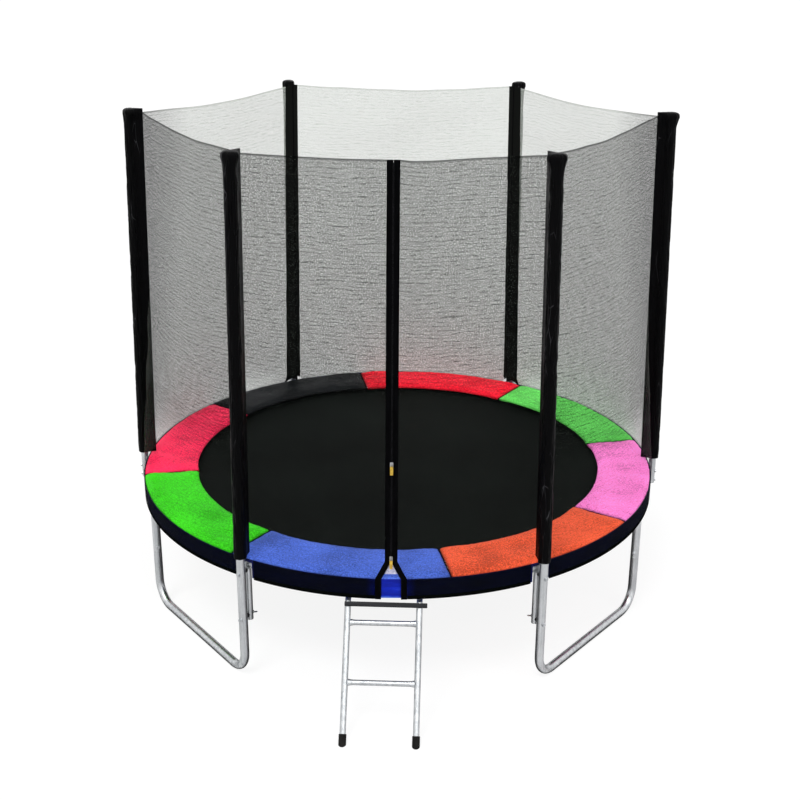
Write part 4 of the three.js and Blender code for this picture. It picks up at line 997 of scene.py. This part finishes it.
SLEEVE_LOW, SLEEVE_RADIUS, SEAM_REACH, SEAM_HALF = 0.575, 0.0262, 0.0585, 0.0034
ROOF_LOW = 2.2075
rows = np.concatenate([np.linspace(SLEEVE_LOW, 2.205, 260), np.linspace(ROOF_LOW, 2.2335, 14)])
height = rows[:, None]
round_turn = np.radians(np.linspace(-122, 122, 42))
share = np.linspace(0, 1, 9)[1:-1]
top = np.clip((height - 2.15) / 0.06, 0, 1)
hem = np.exp(-(height - SLEEVE_LOW) / 0.01)
roof = np.clip((height - ROOF_LOW) / 0.026, 0, 1)
shrink = np.sqrt(1 - 0.7 * roof**5)
tip = np.ones_like(height)
for i, place in enumerate(POLES):
    angle = 60 * i
    across, radial = roundwards(angle), outwards(angle)
    out, side = np.cos(round_turn) * tip, np.sin(round_turn) * tip
    soft = 0.0016 * waves(together(out * 0.4, side * 0.4, 2.2 * height), 10 + i, 12, 1.2, 5.5)
    creases = np.abs(waves(together(out * 0.5, side * 0.5, height), 40 + i, 6, 6, 15))
    rumple = np.clip(soft - 0.0017 * (creases - 0.7) + 0.0006 * hem, -0.006, 0.0012)
    flare = (0.0075 + 0.0045 * np.cos(2 * round_turn + 0.8 * i)) * top**2
    swell = SLEEVE_RADIUS + rumple + flare
    out, side = out * swell * shrink, side * swell * shrink
    down_out = out[:, -1:] + (-SEAM_REACH - out[:, -1:]) * share
    down_side = side[:, -1:] + (SEAM_HALF - side[:, -1:]) * share**0.6
    tips_out, tips_side = -SEAM_REACH * np.hstack([tip, tip]), SEAM_HALF * np.hstack([tip, -tip])
    out = np.concatenate([out, down_out, tips_out, down_out[:, ::-1]], 1)
    side = np.concatenate([side, down_side, tips_side, -down_side[:, ::-1]], 1)
    middle = polar(pole_radius(rows), angle, rows)
    grid = middle[:, None] + out[..., None] * radial + side[..., None] * across
    around = np.append(0, np.cumsum(np.linalg.norm(np.diff(grid[100], axis=0), axis=1)))
    uv = together(around + 0.2 * i, height)
    lip = grid[:1] - (grid[:1] - middle[:1, None]) * 0.12
    shell = capped(np.concatenate([lip + 0.03 * UP, lip, grid]), last_out=0.0008 * UP)
    full_uv = np.concatenate([uv[:1], uv[:1], uv[:1], uv, uv[-1:]])
    sleeve = make(f"sleeve_{place}", [shell], sleeve_cloth, sharp=60, uv=full_uv)
    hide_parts(f"pole_sleeve_{place}")
    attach(sleeve, "frame")

# ---------------------------------------------------------------------------------------------
# Net: six bays of fine knitted polyester between the sleeves, with a bound hem at the top. Its
# foot spreads over the skirt and ends in a black hem. Dark yarn, painted paler inside as painted
# light.
# ---------------------------------------------------------------------------------------------

NET_HEM, NET_BEND, NET_SHOULDER, NET_TOP, NET_SAG = 0.470, 0.562, 0.6, 2.218, 0.022
HEM_RADIUS = 1.2251
SEAM_EDGE, NOTCH_EDGE = 0.0012, 0.044
CLOTH_RADIUS, HALF_BAY_DEG = 1.15, 30


def seam_radius(height):
    """Where the sleeve's seam lies at a height."""
    return pole_radius(height) - 0.055


def net_place(angle, down):
    """Radius and height of the net at an angle. down goes from 0 at the top hem to 1 at the
    shoulder, 2 at the bend and 3 at the bottom hem: straight between those, with rounded turns."""
    from_middle = np.abs((angle % 60) - HALF_BAY_DEG)
    share = from_middle / HALF_BAY_DEG
    top = NET_TOP - NET_SAG * (1 - share**2)
    chord = seam_radius(NET_TOP) * np.cos(np.radians(HALF_BAY_DEG))
    chord = chord / np.cos(np.radians(from_middle))
    ease = np.clip((HALF_BAY_DEG - from_middle) / 8, 0, 1)
    ease = ease * ease * (3 - 2 * ease)
    shoulder = seam_radius(NET_SHOULDER) + (HEM_RADIUS - seam_radius(NET_SHOULDER)) * ease
    upper, lower, foot = (np.clip(down - step, 0, 1) for step in range(3))
    radius = chord + (shoulder - chord) * upper + (HEM_RADIUS - shoulder) * lower
    height = top + (NET_SHOULDER - top) * upper + (NET_BEND - NET_SHOULDER) * lower
    return radius - 0.0012, height + (NET_HEM - NET_BEND) * foot


def pole_edge(height):
    """Half the gap that the net leaves for the sleeve's seam, and lower down for the pole."""
    share = np.clip((NET_SHOULDER - height) / (NET_SHOULDER - NET_BEND), 0, 1)
    return SEAM_EDGE + (NOTCH_EDGE - SEAM_EDGE) * share


def door_edge(height):
    """Half the gap between the door's zip tapes: closed above, a widening V near the bottom."""
    share = np.clip((0.64 - height) / (0.64 - NET_BEND), 0, 1)
    return 0.0005 + 0.0395 * share


# How much of the net is thread. Crossing threads, with uneven rows and loose places in them, are
# thinned where openness is painted. The hems, the foot and the bindings are fuller.
knit = bpy.data.node_groups.new("knitted net", "ShaderNodeTree")
lay = node(knit, "ShaderNodeSeparateXYZ", {"Vector": coordinates(knit, "UV")}).outputs
place = node(knit, "ShaderNodeSeparateXYZ", {"Vector": coordinates(knit, "Object")}).outputs
wander = noise(knit, (7, 60, 1), kind="UV")
threads = []
for axis, pitch in (("X", 0.0042), ("Y", 0.0036)):
    moved = maths(knit, "MULTIPLY_ADD", wander, 0.004, lay[axis])
    beat = maths(knit, "PINGPONG", moved, pitch / 2)
    threads.append(between(knit, beat, 0.0003, 0.00106, 0.98, 0))
drift = noise(knit, (3.5, 9, 1), 4, 0.6, kind="UV")
row_place = maths(knit, "MULTIPLY_ADD", drift, 0.05, lay["Y"])
row_line = between(knit, maths(knit, "PINGPONG", row_place, 0.008), 0.0006, 0.0032, 0.4, -0.06)
broken = between(knit, noise(knit, (26, 50, 1), 2, kind="UV"), 0.4, 0.62)
loose = between(knit, noise(knit, (240, 150, 1), 1, kind="UV"), 0.5, 0.7, 0.06, -0.48)
cover = maths(knit, "MAXIMUM", *threads)
for more in (maths(knit, "MULTIPLY", row_line, broken), loose):
    cover = maths(knit, "ADD", cover, more, use_clamp=True)
kept = maths(knit, "MULTIPLY_ADD", painted(knit, "openness"), -0.62, 1)
cover = maths(knit, "MULTIPLY", cover, kept)
foot_cover = between(knit, place["Z"], 0.556, 0.572, 0.84, 0)
top_hem = between(knit, lay["Y"], 0.004, 0.011, 0.72, 0)
foot_hem = maths(knit, "LESS_THAN", place["Z"], 0.487)
bound = maths(knit, "LESS_THAN", painted(knit, "from_edge"), 0.026)
for fuller in (foot_cover, top_hem, foot_hem, bound):
    cover = maths(knit, "MAXIMUM", cover, fuller)
above_foot = maths(knit, "GREATER_THAN", place["Z"], 0.572)
speck = between(knit, noise(knit, (260, 260, 1), 1, kind="UV"), 0.62, 0.74)
speck = maths(knit, "MULTIPLY", speck, above_foot)
group_ends(knit, Cover=cover, Speck=speck, Binding=bound)

# The yarn is dark, painted pale on the inside as painted light, black in the bindings, and darkened
# by painted shade near the side poles.
# Light meets less of it than the camera does, so that what lies behind the net stays bright.
# Sockets 6 and 7 of the mix, and its output 2, are those for colours.
net_cloth = material("net cloth", srgb(10, 12, 11), 0.85, Specular_IOR_Level=0.0)
tree = net_cloth.node_tree
knitted = node(tree, "ShaderNodeGroup", node_tree=knit).outputs
inside = node(tree, "ShaderNodeNewGeometry").outputs["Backfacing"]
outer_yarn = ramp(tree, knitted["Speck"], (0.0, srgb(7, 9, 8)), (1.0, srgb(110, 116, 108)))
# Painted light: the inner side of the yarn is pale.
painted_light_inner_yarn = ramp(tree, knitted["Speck"], (0.0, srgb(216, 223, 215)), (1.0, srgb(246, 250, 244)))
yarns = {0: inside, 6: outer_yarn, 7: painted_light_inner_yarn}
yarn = node(tree, "ShaderNodeMix", yarns, data_type="RGBA").outputs[2]
# Painted shade: the yarn darkens towards the side poles.
painted_pole_shade = between(tree, painted(tree, "from_side_pole"), 0.05, 0.32, 0.22, 1)
unbound = maths(tree, "MULTIPLY_ADD", knitted["Binding"], -0.985, 1)
yarn = dimmed(tree, yarn, maths(tree, "MULTIPLY", unbound, painted_pole_shade))
camera_ray = node(tree, "ShaderNodeLightPath").outputs["Is Camera Ray"]
covered = maths(tree, "MULTIPLY", knitted["Cover"], between(tree, camera_ray, 0, 1, 0.35, 1))
joined(net_cloth, Base_Color=yarn, Alpha=covered)


def hung_net(name, start_edge, end_edge, columns, replaced, flat, open_from, open_to):
    """A bay of net between two edges; an edge gives an angle for a height. Its cloth swells in
    and out by a few millimetres."""
    across = np.linspace(0, 1, columns)[None, :]
    hem, fall = np.linspace(0, 0.02, 4), np.linspace(0.04, 1, 60)[:-1]
    down = np.concatenate([hem, fall, np.linspace(1, 2, 8)[:-1], np.linspace(2, 3, 8)])[:, None]
    # An edge's angle hangs on the height and the height on the angle: four rounds settle both.
    height = 1.4
    for _ in range(4):
        start, end = start_edge(height), end_edge(height)
        angle = np.broadcast_to(start + (end - start) * across, (len(down), columns))
        radius, height = net_place(angle, down)
    place = together(np.radians(angle) * 1.1, height, 0.0)
    free = np.clip(np.minimum(across, 1 - across) * 12, 0, 1) * np.clip((height - 0.62) / 0.1, 0, 1)
    radius = radius + free * 0.0035 * waves(place, len(name), 9, 1.0, 5.0)
    height = height + free * 0.002 * waves(place + 3, len(name) + 5, 6, 1, 4) * (down < 0.01)
    grid = polar(radius, angle, height)
    uv = together(np.radians(angle) * CLOTH_RADIUS, grid[0, :, 2] - height)
    points, faces = surface(grid)
    net = make(name, [(points, faces[:, ::-1])], net_cloth, sharp=180, closed=False, uv=uv)
    if angle[0, 0] > angle[0, -1]:
        net.data.flip_normals()
    # The bound strip by the back poles is 22 mm wide in the back bay and 57 mm wide outside it.
    strip_scale = 1.2 if name == "net_back" else 0.46
    back_pole = np.minimum(np.abs(angle - 60), np.abs(angle - 120))
    side_pole = np.abs((angle + 90) % 180 - 90)
    low = np.clip((open_from - points[:, 2]) / (open_from - open_to), 0, 1)
    paint(net.data, "from_edge", np.radians(back_pole) * CLOTH_RADIUS * strip_scale)
    # Distance along the cloth from the side poles, for the painted shade beside them.
    paint(net.data, "from_side_pole", np.radians(side_pole) * CLOTH_RADIUS)
    paint(net.data, "openness", low * low * (3 - 2 * low))
    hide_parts(replaced)
    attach(net, "frame")


def at_pole(angle, way):
    """The net's edge beside a pole."""
    return lambda height: angle + way * np.degrees(pole_edge(height) / 1.19)


BAYS = {"right_back": 0, "back": 60, "left_back": 120, "left_front": 180, "right_front": 300}
for place, angle in BAYS.items():
    edges = (at_pole(angle, 1), at_pole(angle + 60, -1))
    wider = (1.06, 0.86) if place.endswith("front") else (0.4, 0.3)
    hung_net(f"net_{place}", *edges, 60, f"net_panel_{place}", (1.18, 1.75), *wider)

# ---------------------------------------------------------------------------------------------
# Door: the front bay is split by a zip. Two halves of net are sewn to black zip tapes, which part
# in a V near the bottom, where the blue skirt shows between them.
# ---------------------------------------------------------------------------------------------

TAPE_WIDTH = 0.025


def zip_radius(height):
    """Distance of the zip from the ring's middle: straight from the top hem to the shoulder."""
    top_radius, top_height = net_place(np.array(DOOR_DEG), np.array(0.0))
    share = np.clip((top_height - np.asarray(height, float)) / (top_height - NET_SHOULDER), 0, 1)
    return top_radius + (HEM_RADIUS - top_radius) * share


def from_zip(way, height, across, radius):
    """Angle of what lies across from the zip's own edge at a height, to the left or the right."""
    return DOOR_DEG + way * np.degrees((door_edge(height) + across) / radius)


def at_tape(way):
    """The net's edge beside a zip tape."""
    return lambda height: from_zip(way, height, TAPE_WIDTH + 0.0003, zip_radius(height))


tape_cloth = material("zip tape cloth", srgb(3, 3, 4), 0.65, Specular_IOR_Level=0.02)
tree = tape_cloth.node_tree
threads = weave(tree, coordinates(tree, "UV"), 0.0011, 0.785)
soft_marks = noise(tree, (60, 9, 1), 4, 0.6, kind="UV")
joined(
    tape_cloth,
    Base_Color=ramp(tree, soft_marks, (0.35, srgb(2, 2, 3)), (0.8, srgb(12, 12, 14))),
    Normal=bumped(tree, maths(tree, "MULTIPLY_ADD", soft_marks, 2.5, threads), 0.0007),
)
teeth_plastic = material("zip teeth plastic", srgb(8, 8, 9), 0.4, Specular_IOR_Level=0.05)
tree = teeth_plastic.node_tree
scuffs = noise(tree, (220, 220, 60))
joined(
    teeth_plastic,
    Base_Color=ramp(tree, scuffs, (0.35, srgb(4, 4, 5)), (0.72, srgb(24, 24, 27))),
    Roughness=between(tree, scuffs, 0, 1, 0.22, 0.5),
)
zip_top = float(net_place(np.array(DOOR_DEG), np.array(0.0))[1])

for place, way in (("left", -1), ("right", 1)):
    edges = (at_pole(DOOR_DEG + way * HALF_BAY_DEG, -way), at_tape(way))
    hung_net(f"net_door_{place}_half", *edges, 34, f"net_door_{place}", (0.57, 1.75), 1.42, 1.24)

    rows = np.concatenate([np.linspace(zip_top, 0.66, 60), np.linspace(0.655, NET_HEM, 40)])
    across = np.array([0, 0.0006, 0.006, 0.0125, 0.019, 0.0244, TAPE_WIDTH])
    lift = 0.8 * np.array([0, 0.0011, 0.0012, 0.0009, 0.0012, 0.0011, 0])
    height, radius = rows[:, None], zip_radius(rows)[:, None]
    angle = from_zip(way, height, across, radius)
    face = polar(radius + lift, angle, height)
    back = polar(radius - lift[::-1], angle[:, ::-1], height)
    grid = np.concatenate([face, back[:, 1:-1]], 1)
    around = np.concatenate([across, 2 * TAPE_WIDTH - across[::-1][1:-1]])
    uv = together(around, height)
    shell = surface(grid, round_columns=True)
    tape = make(f"zip_tape_{place}", [shell], tape_cloth, sharp=60, closed=False, uv=uv)
    if way > 0:
        tape.data.flip_normals()
    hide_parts(f"door_tape_{place}")
    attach(tape, "frame")

    tooth_heights = np.arange(0.49, zip_top - 0.012, 0.0034)
    tall, proud, reach = [-0.0011, 0.0011], [0.0004, 0.0012], [-0.0012, 0.0034]
    tooth, up, out, side = np.meshgrid(tooth_heights, tall, proud, reach, indexing="ij")
    height = tooth + up + (0.0017 if way > 0 else 0)
    radius = zip_radius(height) + out
    corners = polar(radius, from_zip(way, height, side, radius), height).reshape(-1, 3)
    cube = [[0, 1, 3, 2], [4, 6, 7, 5], [0, 4, 5, 1], [2, 3, 7, 6], [0, 2, 6, 4], [1, 5, 7, 3]]
    faces = (8 * np.arange(len(tooth_heights))[:, None, None] + np.array(cube)).reshape(-1, 4)
    teeth = make(f"zip_teeth_{place}", [(corners, faces)], teeth_plastic)
    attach(teeth, "frame")

patch_cloth = material("apex patch cloth", srgb(214, 214, 238), 0.7, Specular_IOR_Level=0.1)
tree = patch_cloth.node_tree
threads = weave(tree, coordinates(tree, "Object"), 0.0012)
soft_marks = noise(tree, 120)
joined(
    patch_cloth,
    Base_Color=ramp(tree, soft_marks, (0.3, srgb(176, 176, 214)), (0.7, srgb(232, 232, 246))),
    Normal=bumped(tree, threads, 0.0003),
)
PATCH_LOW, PATCH_TALL, PATCH_THICK = 0.584, 0.05, 0.0012
rise = np.linspace(0, 1, 7)[:, None]
height = PATCH_LOW + PATCH_TALL * rise
radius = zip_radius(height) - 0.0035
across = (0.026 * (1 - rise) + 0.004 * rise) * np.linspace(-1, 1, 5)
angle = DOOR_DEG + np.degrees(across / radius)
face, rear = polar(radius, angle, height), polar(radius - PATCH_THICK, angle[:, ::-1], height)
apex = make("door_apex_patch", [capped(np.concatenate([face, rear], 1))], patch_cloth, sharp=50)
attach(apex, "frame")

# ---------------------------------------------------------------------------------------------
# Zip sliders and pulls: two cast sliders on the outside of the zip, each with a bridge, a small
# wire frame and a folded ribbon of yellow webbing.
# ---------------------------------------------------------------------------------------------

slider_metal = steel("slider metal", srgb(110, 110, 112), srgb(210, 211, 212))
ribbon = material("yellow ribbon", srgb(222, 182, 52), 0.6, Sheen_Weight=0.2)
tree = ribbon.node_tree
yellows = [(0.3, srgb(190, 146, 34)), (0.6, srgb(226, 188, 58)), (0.85, srgb(240, 212, 104))]
joined(
    ribbon,
    Base_Color=ramp(tree, noise(tree, 90), *yellows),
    Normal=bumped(tree, ribbed(tree, coordinates(tree, "Object"), 0.0016, "Z", 0.3), 0.0004),
)

ZIP_TOP_RADIUS, ZIP_FOOT_RADIUS, ZIP_TOP = 0.9920525, 1.2267279, 2.196
ZIP_LEAN = np.arctan2(ZIP_FOOT_RADIUS - ZIP_TOP_RADIUS, ZIP_TOP - NET_SHOULDER)
PIN_OUT = 0.0067


def block(low, high, edge):
    """Box with rounded long edges: a squared oval carried from low to high along its height."""
    low, high = np.array(low, float), np.array(high, float)
    half, middle = (high - low) / 2, (high + low) / 2
    turn = full_turn(20)
    oval = together(squared(np.cos(turn), 0.35), squared(np.sin(turn), 0.35))
    up, out = edge / half[2], edge / half[:2].min()
    rise, inset = np.array([1, 1, 1 - 0.4 * up, 1 - up]), np.array([0, 1 - out, 1 - 0.3 * out, 1])
    rise, inset = np.append(-rise, rise[::-1]), np.append(inset, inset[::-1])
    x, y = np.moveaxis(middle[:2] + inset[:, None, None] * oval * half[:2], -1, 0)
    return surface(together(x, y, (middle[2] + rise * half[2])[:, None]), round_columns=True)


def on_zip(shells, height):
    """Shells of a slider's own frame, +Y out of the net, put on the zip at a height."""
    radius = ZIP_FOOT_RADIUS - (height - NET_SHOULDER) * np.tan(ZIP_LEAN) + 0.0003
    lean, about = Matrix.Rotation(-ZIP_LEAN, 4, "X"), Matrix.Rotation(np.pi, 4, "Z")
    put = np.array(Matrix.Translation((0, RING_Y - radius, height)) @ lean @ about)
    return [(points @ put[:3, :3].T + put[:3, 3], faces) for points, faces in shells]


for place, height in (("lower", 0.652), ("upper", 1.036)):
    arch_turn = np.linspace(-0.15, np.pi + 0.15, 14)
    arch = together(0.0, 0.0048 + 0.0045 * np.sin(arch_turn), 0.0033 * np.cos(arch_turn))
    body = [
        block((-0.0065, 0.0001, -0.010), (0.0065, 0.0022, 0.010), 0.0008),
        block((-0.0056, 0.0028, -0.010), (0.0056, 0.005, 0.009), 0.0009),
        block((-0.0022, 0.0012, 0.002), (0.0022, 0.0040, 0.009), 0.0006),
        capped(tube(arch, (1, 0, 0), 0.0008, 10)),
    ]
    slider = make(f"zip_slider_{place}_body", on_zip(body, height), slider_metal)
    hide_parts(f"zip_slider_{place}")
    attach(slider, f"slider_{place}")

    turn = full_turn(30)
    eye_x = 0.0046 * squared(np.cos(turn), 0.6)
    eye_z = -0.0034 + 0.0042 * squared(np.sin(turn), 0.6)
    eye = wire_ring(together(eye_x, PIN_OUT, eye_z), np.array([0, 1, 0]), 0.00085, 8)
    pull_ring = make(f"zip_pull_{place}_ring", on_zip([eye], height), slider_metal)
    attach(pull_ring, f"pull_{place}")

    width, length = np.linspace(-0.006, 0.006, 7), np.linspace(0, 1, 16)[:, None]
    fold = 0.0011 * np.cos(np.pi * length / 2) + 0.0004
    sway = 0.0006 * np.sin(length * 5.2)
    fall = -0.0066 - 0.0345 * length
    front = together(width, PIN_OUT + sway + fold, fall)
    rear = together(width[::-1], PIN_OUT + sway - fold, fall)
    shell = capped(np.concatenate([front, rear], 1), first_out=0.0012 * UP)
    pull = make(f"zip_pull_{place}_ribbon", on_zip([shell], height), ribbon, sharp=50)
    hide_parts(f"zip_pull_{place}")
    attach(pull, f"pull_{place}")

# ---------------------------------------------------------------------------------------------
# Ladder: two thinner steel tubes with two rungs pressed between them. Flat hooks welded to their
# tops go over the rail, a black plastic bar lies across them, and rubber caps stand on the ground.
# ---------------------------------------------------------------------------------------------

ladder_steel = steel("ladder steel", srgb(172, 175, 178), srgb(226, 229, 231))
HOOK_AXIS_OUT = np.sqrt(RAIL_RADIUS**2 - LADDER_HALF**2)
LADDER_TUBE, LADDER_LEAN = 0.0125, np.radians(36.5)
RAIL_TOP, FOOT_RISE, HOOK_RADIUS = 0.45, 0.01722, 0.02527


def on_ladder(x, out, height):
    """Points of the ladder's own frame: across, outwards from the rail's middle line, and up."""
    x, out, height = np.broadcast_arrays(x, out, height)
    y = -(HOOK_AXIS_OUT + out)
    turned_x = x * np.cos(LADDER_TURN) - y * np.sin(LADDER_TURN)
    turned_y = x * np.sin(LADDER_TURN) + y * np.cos(LADDER_TURN)
    return together(turned_x, turned_y + RING_Y, height)


def rail_out(height):
    """How far out a ladder rail's middle lies at a height."""
    return 0.352 - np.asarray(height, float) * np.tan(LADDER_LEAN)


def flat_bar(line, wide_way, thick_way, wide, thick, sides, girth=1.0):
    """A flat bar along a line, capped at its ends. Its section is a squared oval, whose half
    sizes and powers are wide and thick: line + girth * (w * cos a * way + t * sin a * way)."""
    turn = full_turn(sides)[:, None]
    wide_part = wide[0] * squared(np.cos(turn), wide[1]) * wide_way
    thick_part = thick[0] * squared(np.sin(turn), thick[1]) * thick_way
    girth = np.broadcast_to(girth, len(line))[:, None, None]
    return capped(line[:, None] + girth * (wide_part + thick_part))


SIDEWAYS = np.array([np.cos(LADDER_TURN), np.sin(LADDER_TURN), 0])
rubber = material("foot rubber", srgb(14, 14, 15), 0.7, Specular_IOR_Level=0.12)
tree = rubber.node_tree
joined(
    rubber,
    Base_Color=ramp(tree, noise(tree, 45, 4), (0.35, srgb(8, 8, 9)), (0.8, srgb(38, 37, 36))),
    Normal=bumped(tree, noise(tree, 350), 0.0003),
)

for place, x in (("left", -LADDER_HALF), ("right", LADDER_HALF)):
    heights = np.array([FOOT_RISE, 0.1, 0.2, 0.3, 0.4, 0.445, RAIL_TOP])
    line = on_ladder(x, rail_out(heights), heights)
    shells = [with_ends(tube(line, SIDEWAYS, LADDER_TUBE, 24), 0.0013)]
    arc, leave = np.radians(np.linspace(62, 190, 26)), np.radians(280)
    over = HOOK_RADIUS * together(np.cos(arc), np.sin(arc))
    shank = np.linspace(0.008, 0.066, 6)[:, None] * [np.cos(leave), np.sin(leave)] + over[-1]
    rail_end = np.array([rail_out(RAIL_TOP), RAIL_TOP - RAIL_HEIGHT])
    corner = shank[-1] + (rail_end - shank[-1]) * np.linspace(0, 1, 7)[1:, None]
    weld_height = RAIL_TOP - 0.024
    weld = [[rail_out(weld_height), weld_height - RAIL_HEIGHT]]
    hook_out, hook_up = np.concatenate([over, shank, corner, weld]).T
    line = on_ladder(x, hook_out, RAIL_HEIGHT + hook_up)
    thick_way = np.cross(SIDEWAYS, unit(np.gradient(line, axis=0)))[:, None]
    shells.append(flat_bar(line, SIDEWAYS, thick_way, (0.012, 0.25), (0.00175, 0.45), 16))
    rail = make(f"ladder_rail_{place}_tube", shells, ladder_steel)
    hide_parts(f"ladder_rail_{place}")
    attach(rail, "ladder")

    foot = on_ladder(x, rail_out(FOOT_RISE), FOOT_RISE)
    way = unit(on_ladder(x, rail_out(RAIL_TOP), RAIL_TOP) - foot)
    along = [np.linspace(-0.04, -0.004, 10), np.linspace(0, 0.0164, 24), [0.0176, 0.018]]
    along = np.concatenate(along)
    ribs = 0.0155 + 0.0005 * np.sin(along / 0.0042 * 2 * np.pi) * (along > 0.002) * (along < 0.0146)
    ribs[-2:] = [0.0150, 0.0132]
    grid = tube(foot + along[:, None] * way, SIDEWAYS, ribs, 28)
    grid += (np.maximum(-grid[..., 2], 0) / way[2])[..., None] * way
    cap = make(f"ladder_foot_{place}_cap", [capped(grid, last_out=-0.003 * way)], rubber, sharp=50)
    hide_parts(f"ladder_foot_{place}")
    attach(cap, "ladder")

for place, height in (("lower", 0.192), ("upper", 0.382)):
    x = np.array([-0.1345, -0.132, -0.127, -0.121, -0.112, 0, 0.112, 0.121, 0.127, 0.132, 0.1345])
    flare = [0.0125, 0.0138, 0.0130, 0.0118, 0.011, 0.011, 0.011, 0.0118, 0.0130, 0.0138, 0.0125]
    line = on_ladder(x, rail_out(height), height)
    rung = make(f"ladder_rung_{place}_tube", [capped(tube(line, UP, flare, 24))], ladder_steel)
    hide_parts(f"ladder_rung_{place}")
    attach(rung, "ladder")

bar_plastic = material("bar plastic", srgb(12, 12, 15), 0.42, Specular_IOR_Level=0.2)
tree = bar_plastic.node_tree
scratches = noise(tree, (9, 160, 160), 4, 0.6)
joined(
    bar_plastic,
    Base_Color=ramp(tree, scratches, (0.35, srgb(9, 9, 12)), (0.8, srgb(34, 36, 42))),
    Roughness=between(tree, scratches, 0, 1, 0.3, 0.55),
    Normal=bumped(tree, scratches, 0.0003),
)
BAR_THICK, BAR_HEIGHT = 0.0025, RAIL_TOP - 0.01
lift = LADDER_TUBE + 0.0003 + BAR_THICK
bar_out = rail_out(BAR_HEIGHT) + lift * np.cos(LADDER_LEAN)
bar_x = np.array([-0.1575, -0.157, -0.1555, 0, 0.175, 0.1765, 0.177])
bar_line = on_ladder(bar_x, bar_out, BAR_HEIGHT + lift * np.sin(LADDER_LEAN))
squeeze = np.array([0.7, 0.92, 1, 1, 1, 0.92, 0.7])
outward = on_ladder(0, 1, 0) - on_ladder(0, 0, 0)
tall = -np.sin(LADDER_LEAN) * outward + np.cos(LADDER_LEAN) * UP
thick = np.cos(LADDER_LEAN) * outward + np.sin(LADDER_LEAN) * UP
strip = flat_bar(bar_line, tall, thick, (0.01, 0.3), (BAR_THICK, 0.5), 28, squeeze)
top_bar = make("ladder_top_bar_strip", [strip], bar_plastic)
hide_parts("ladder_top_bar")
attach(top_bar, "ladder")
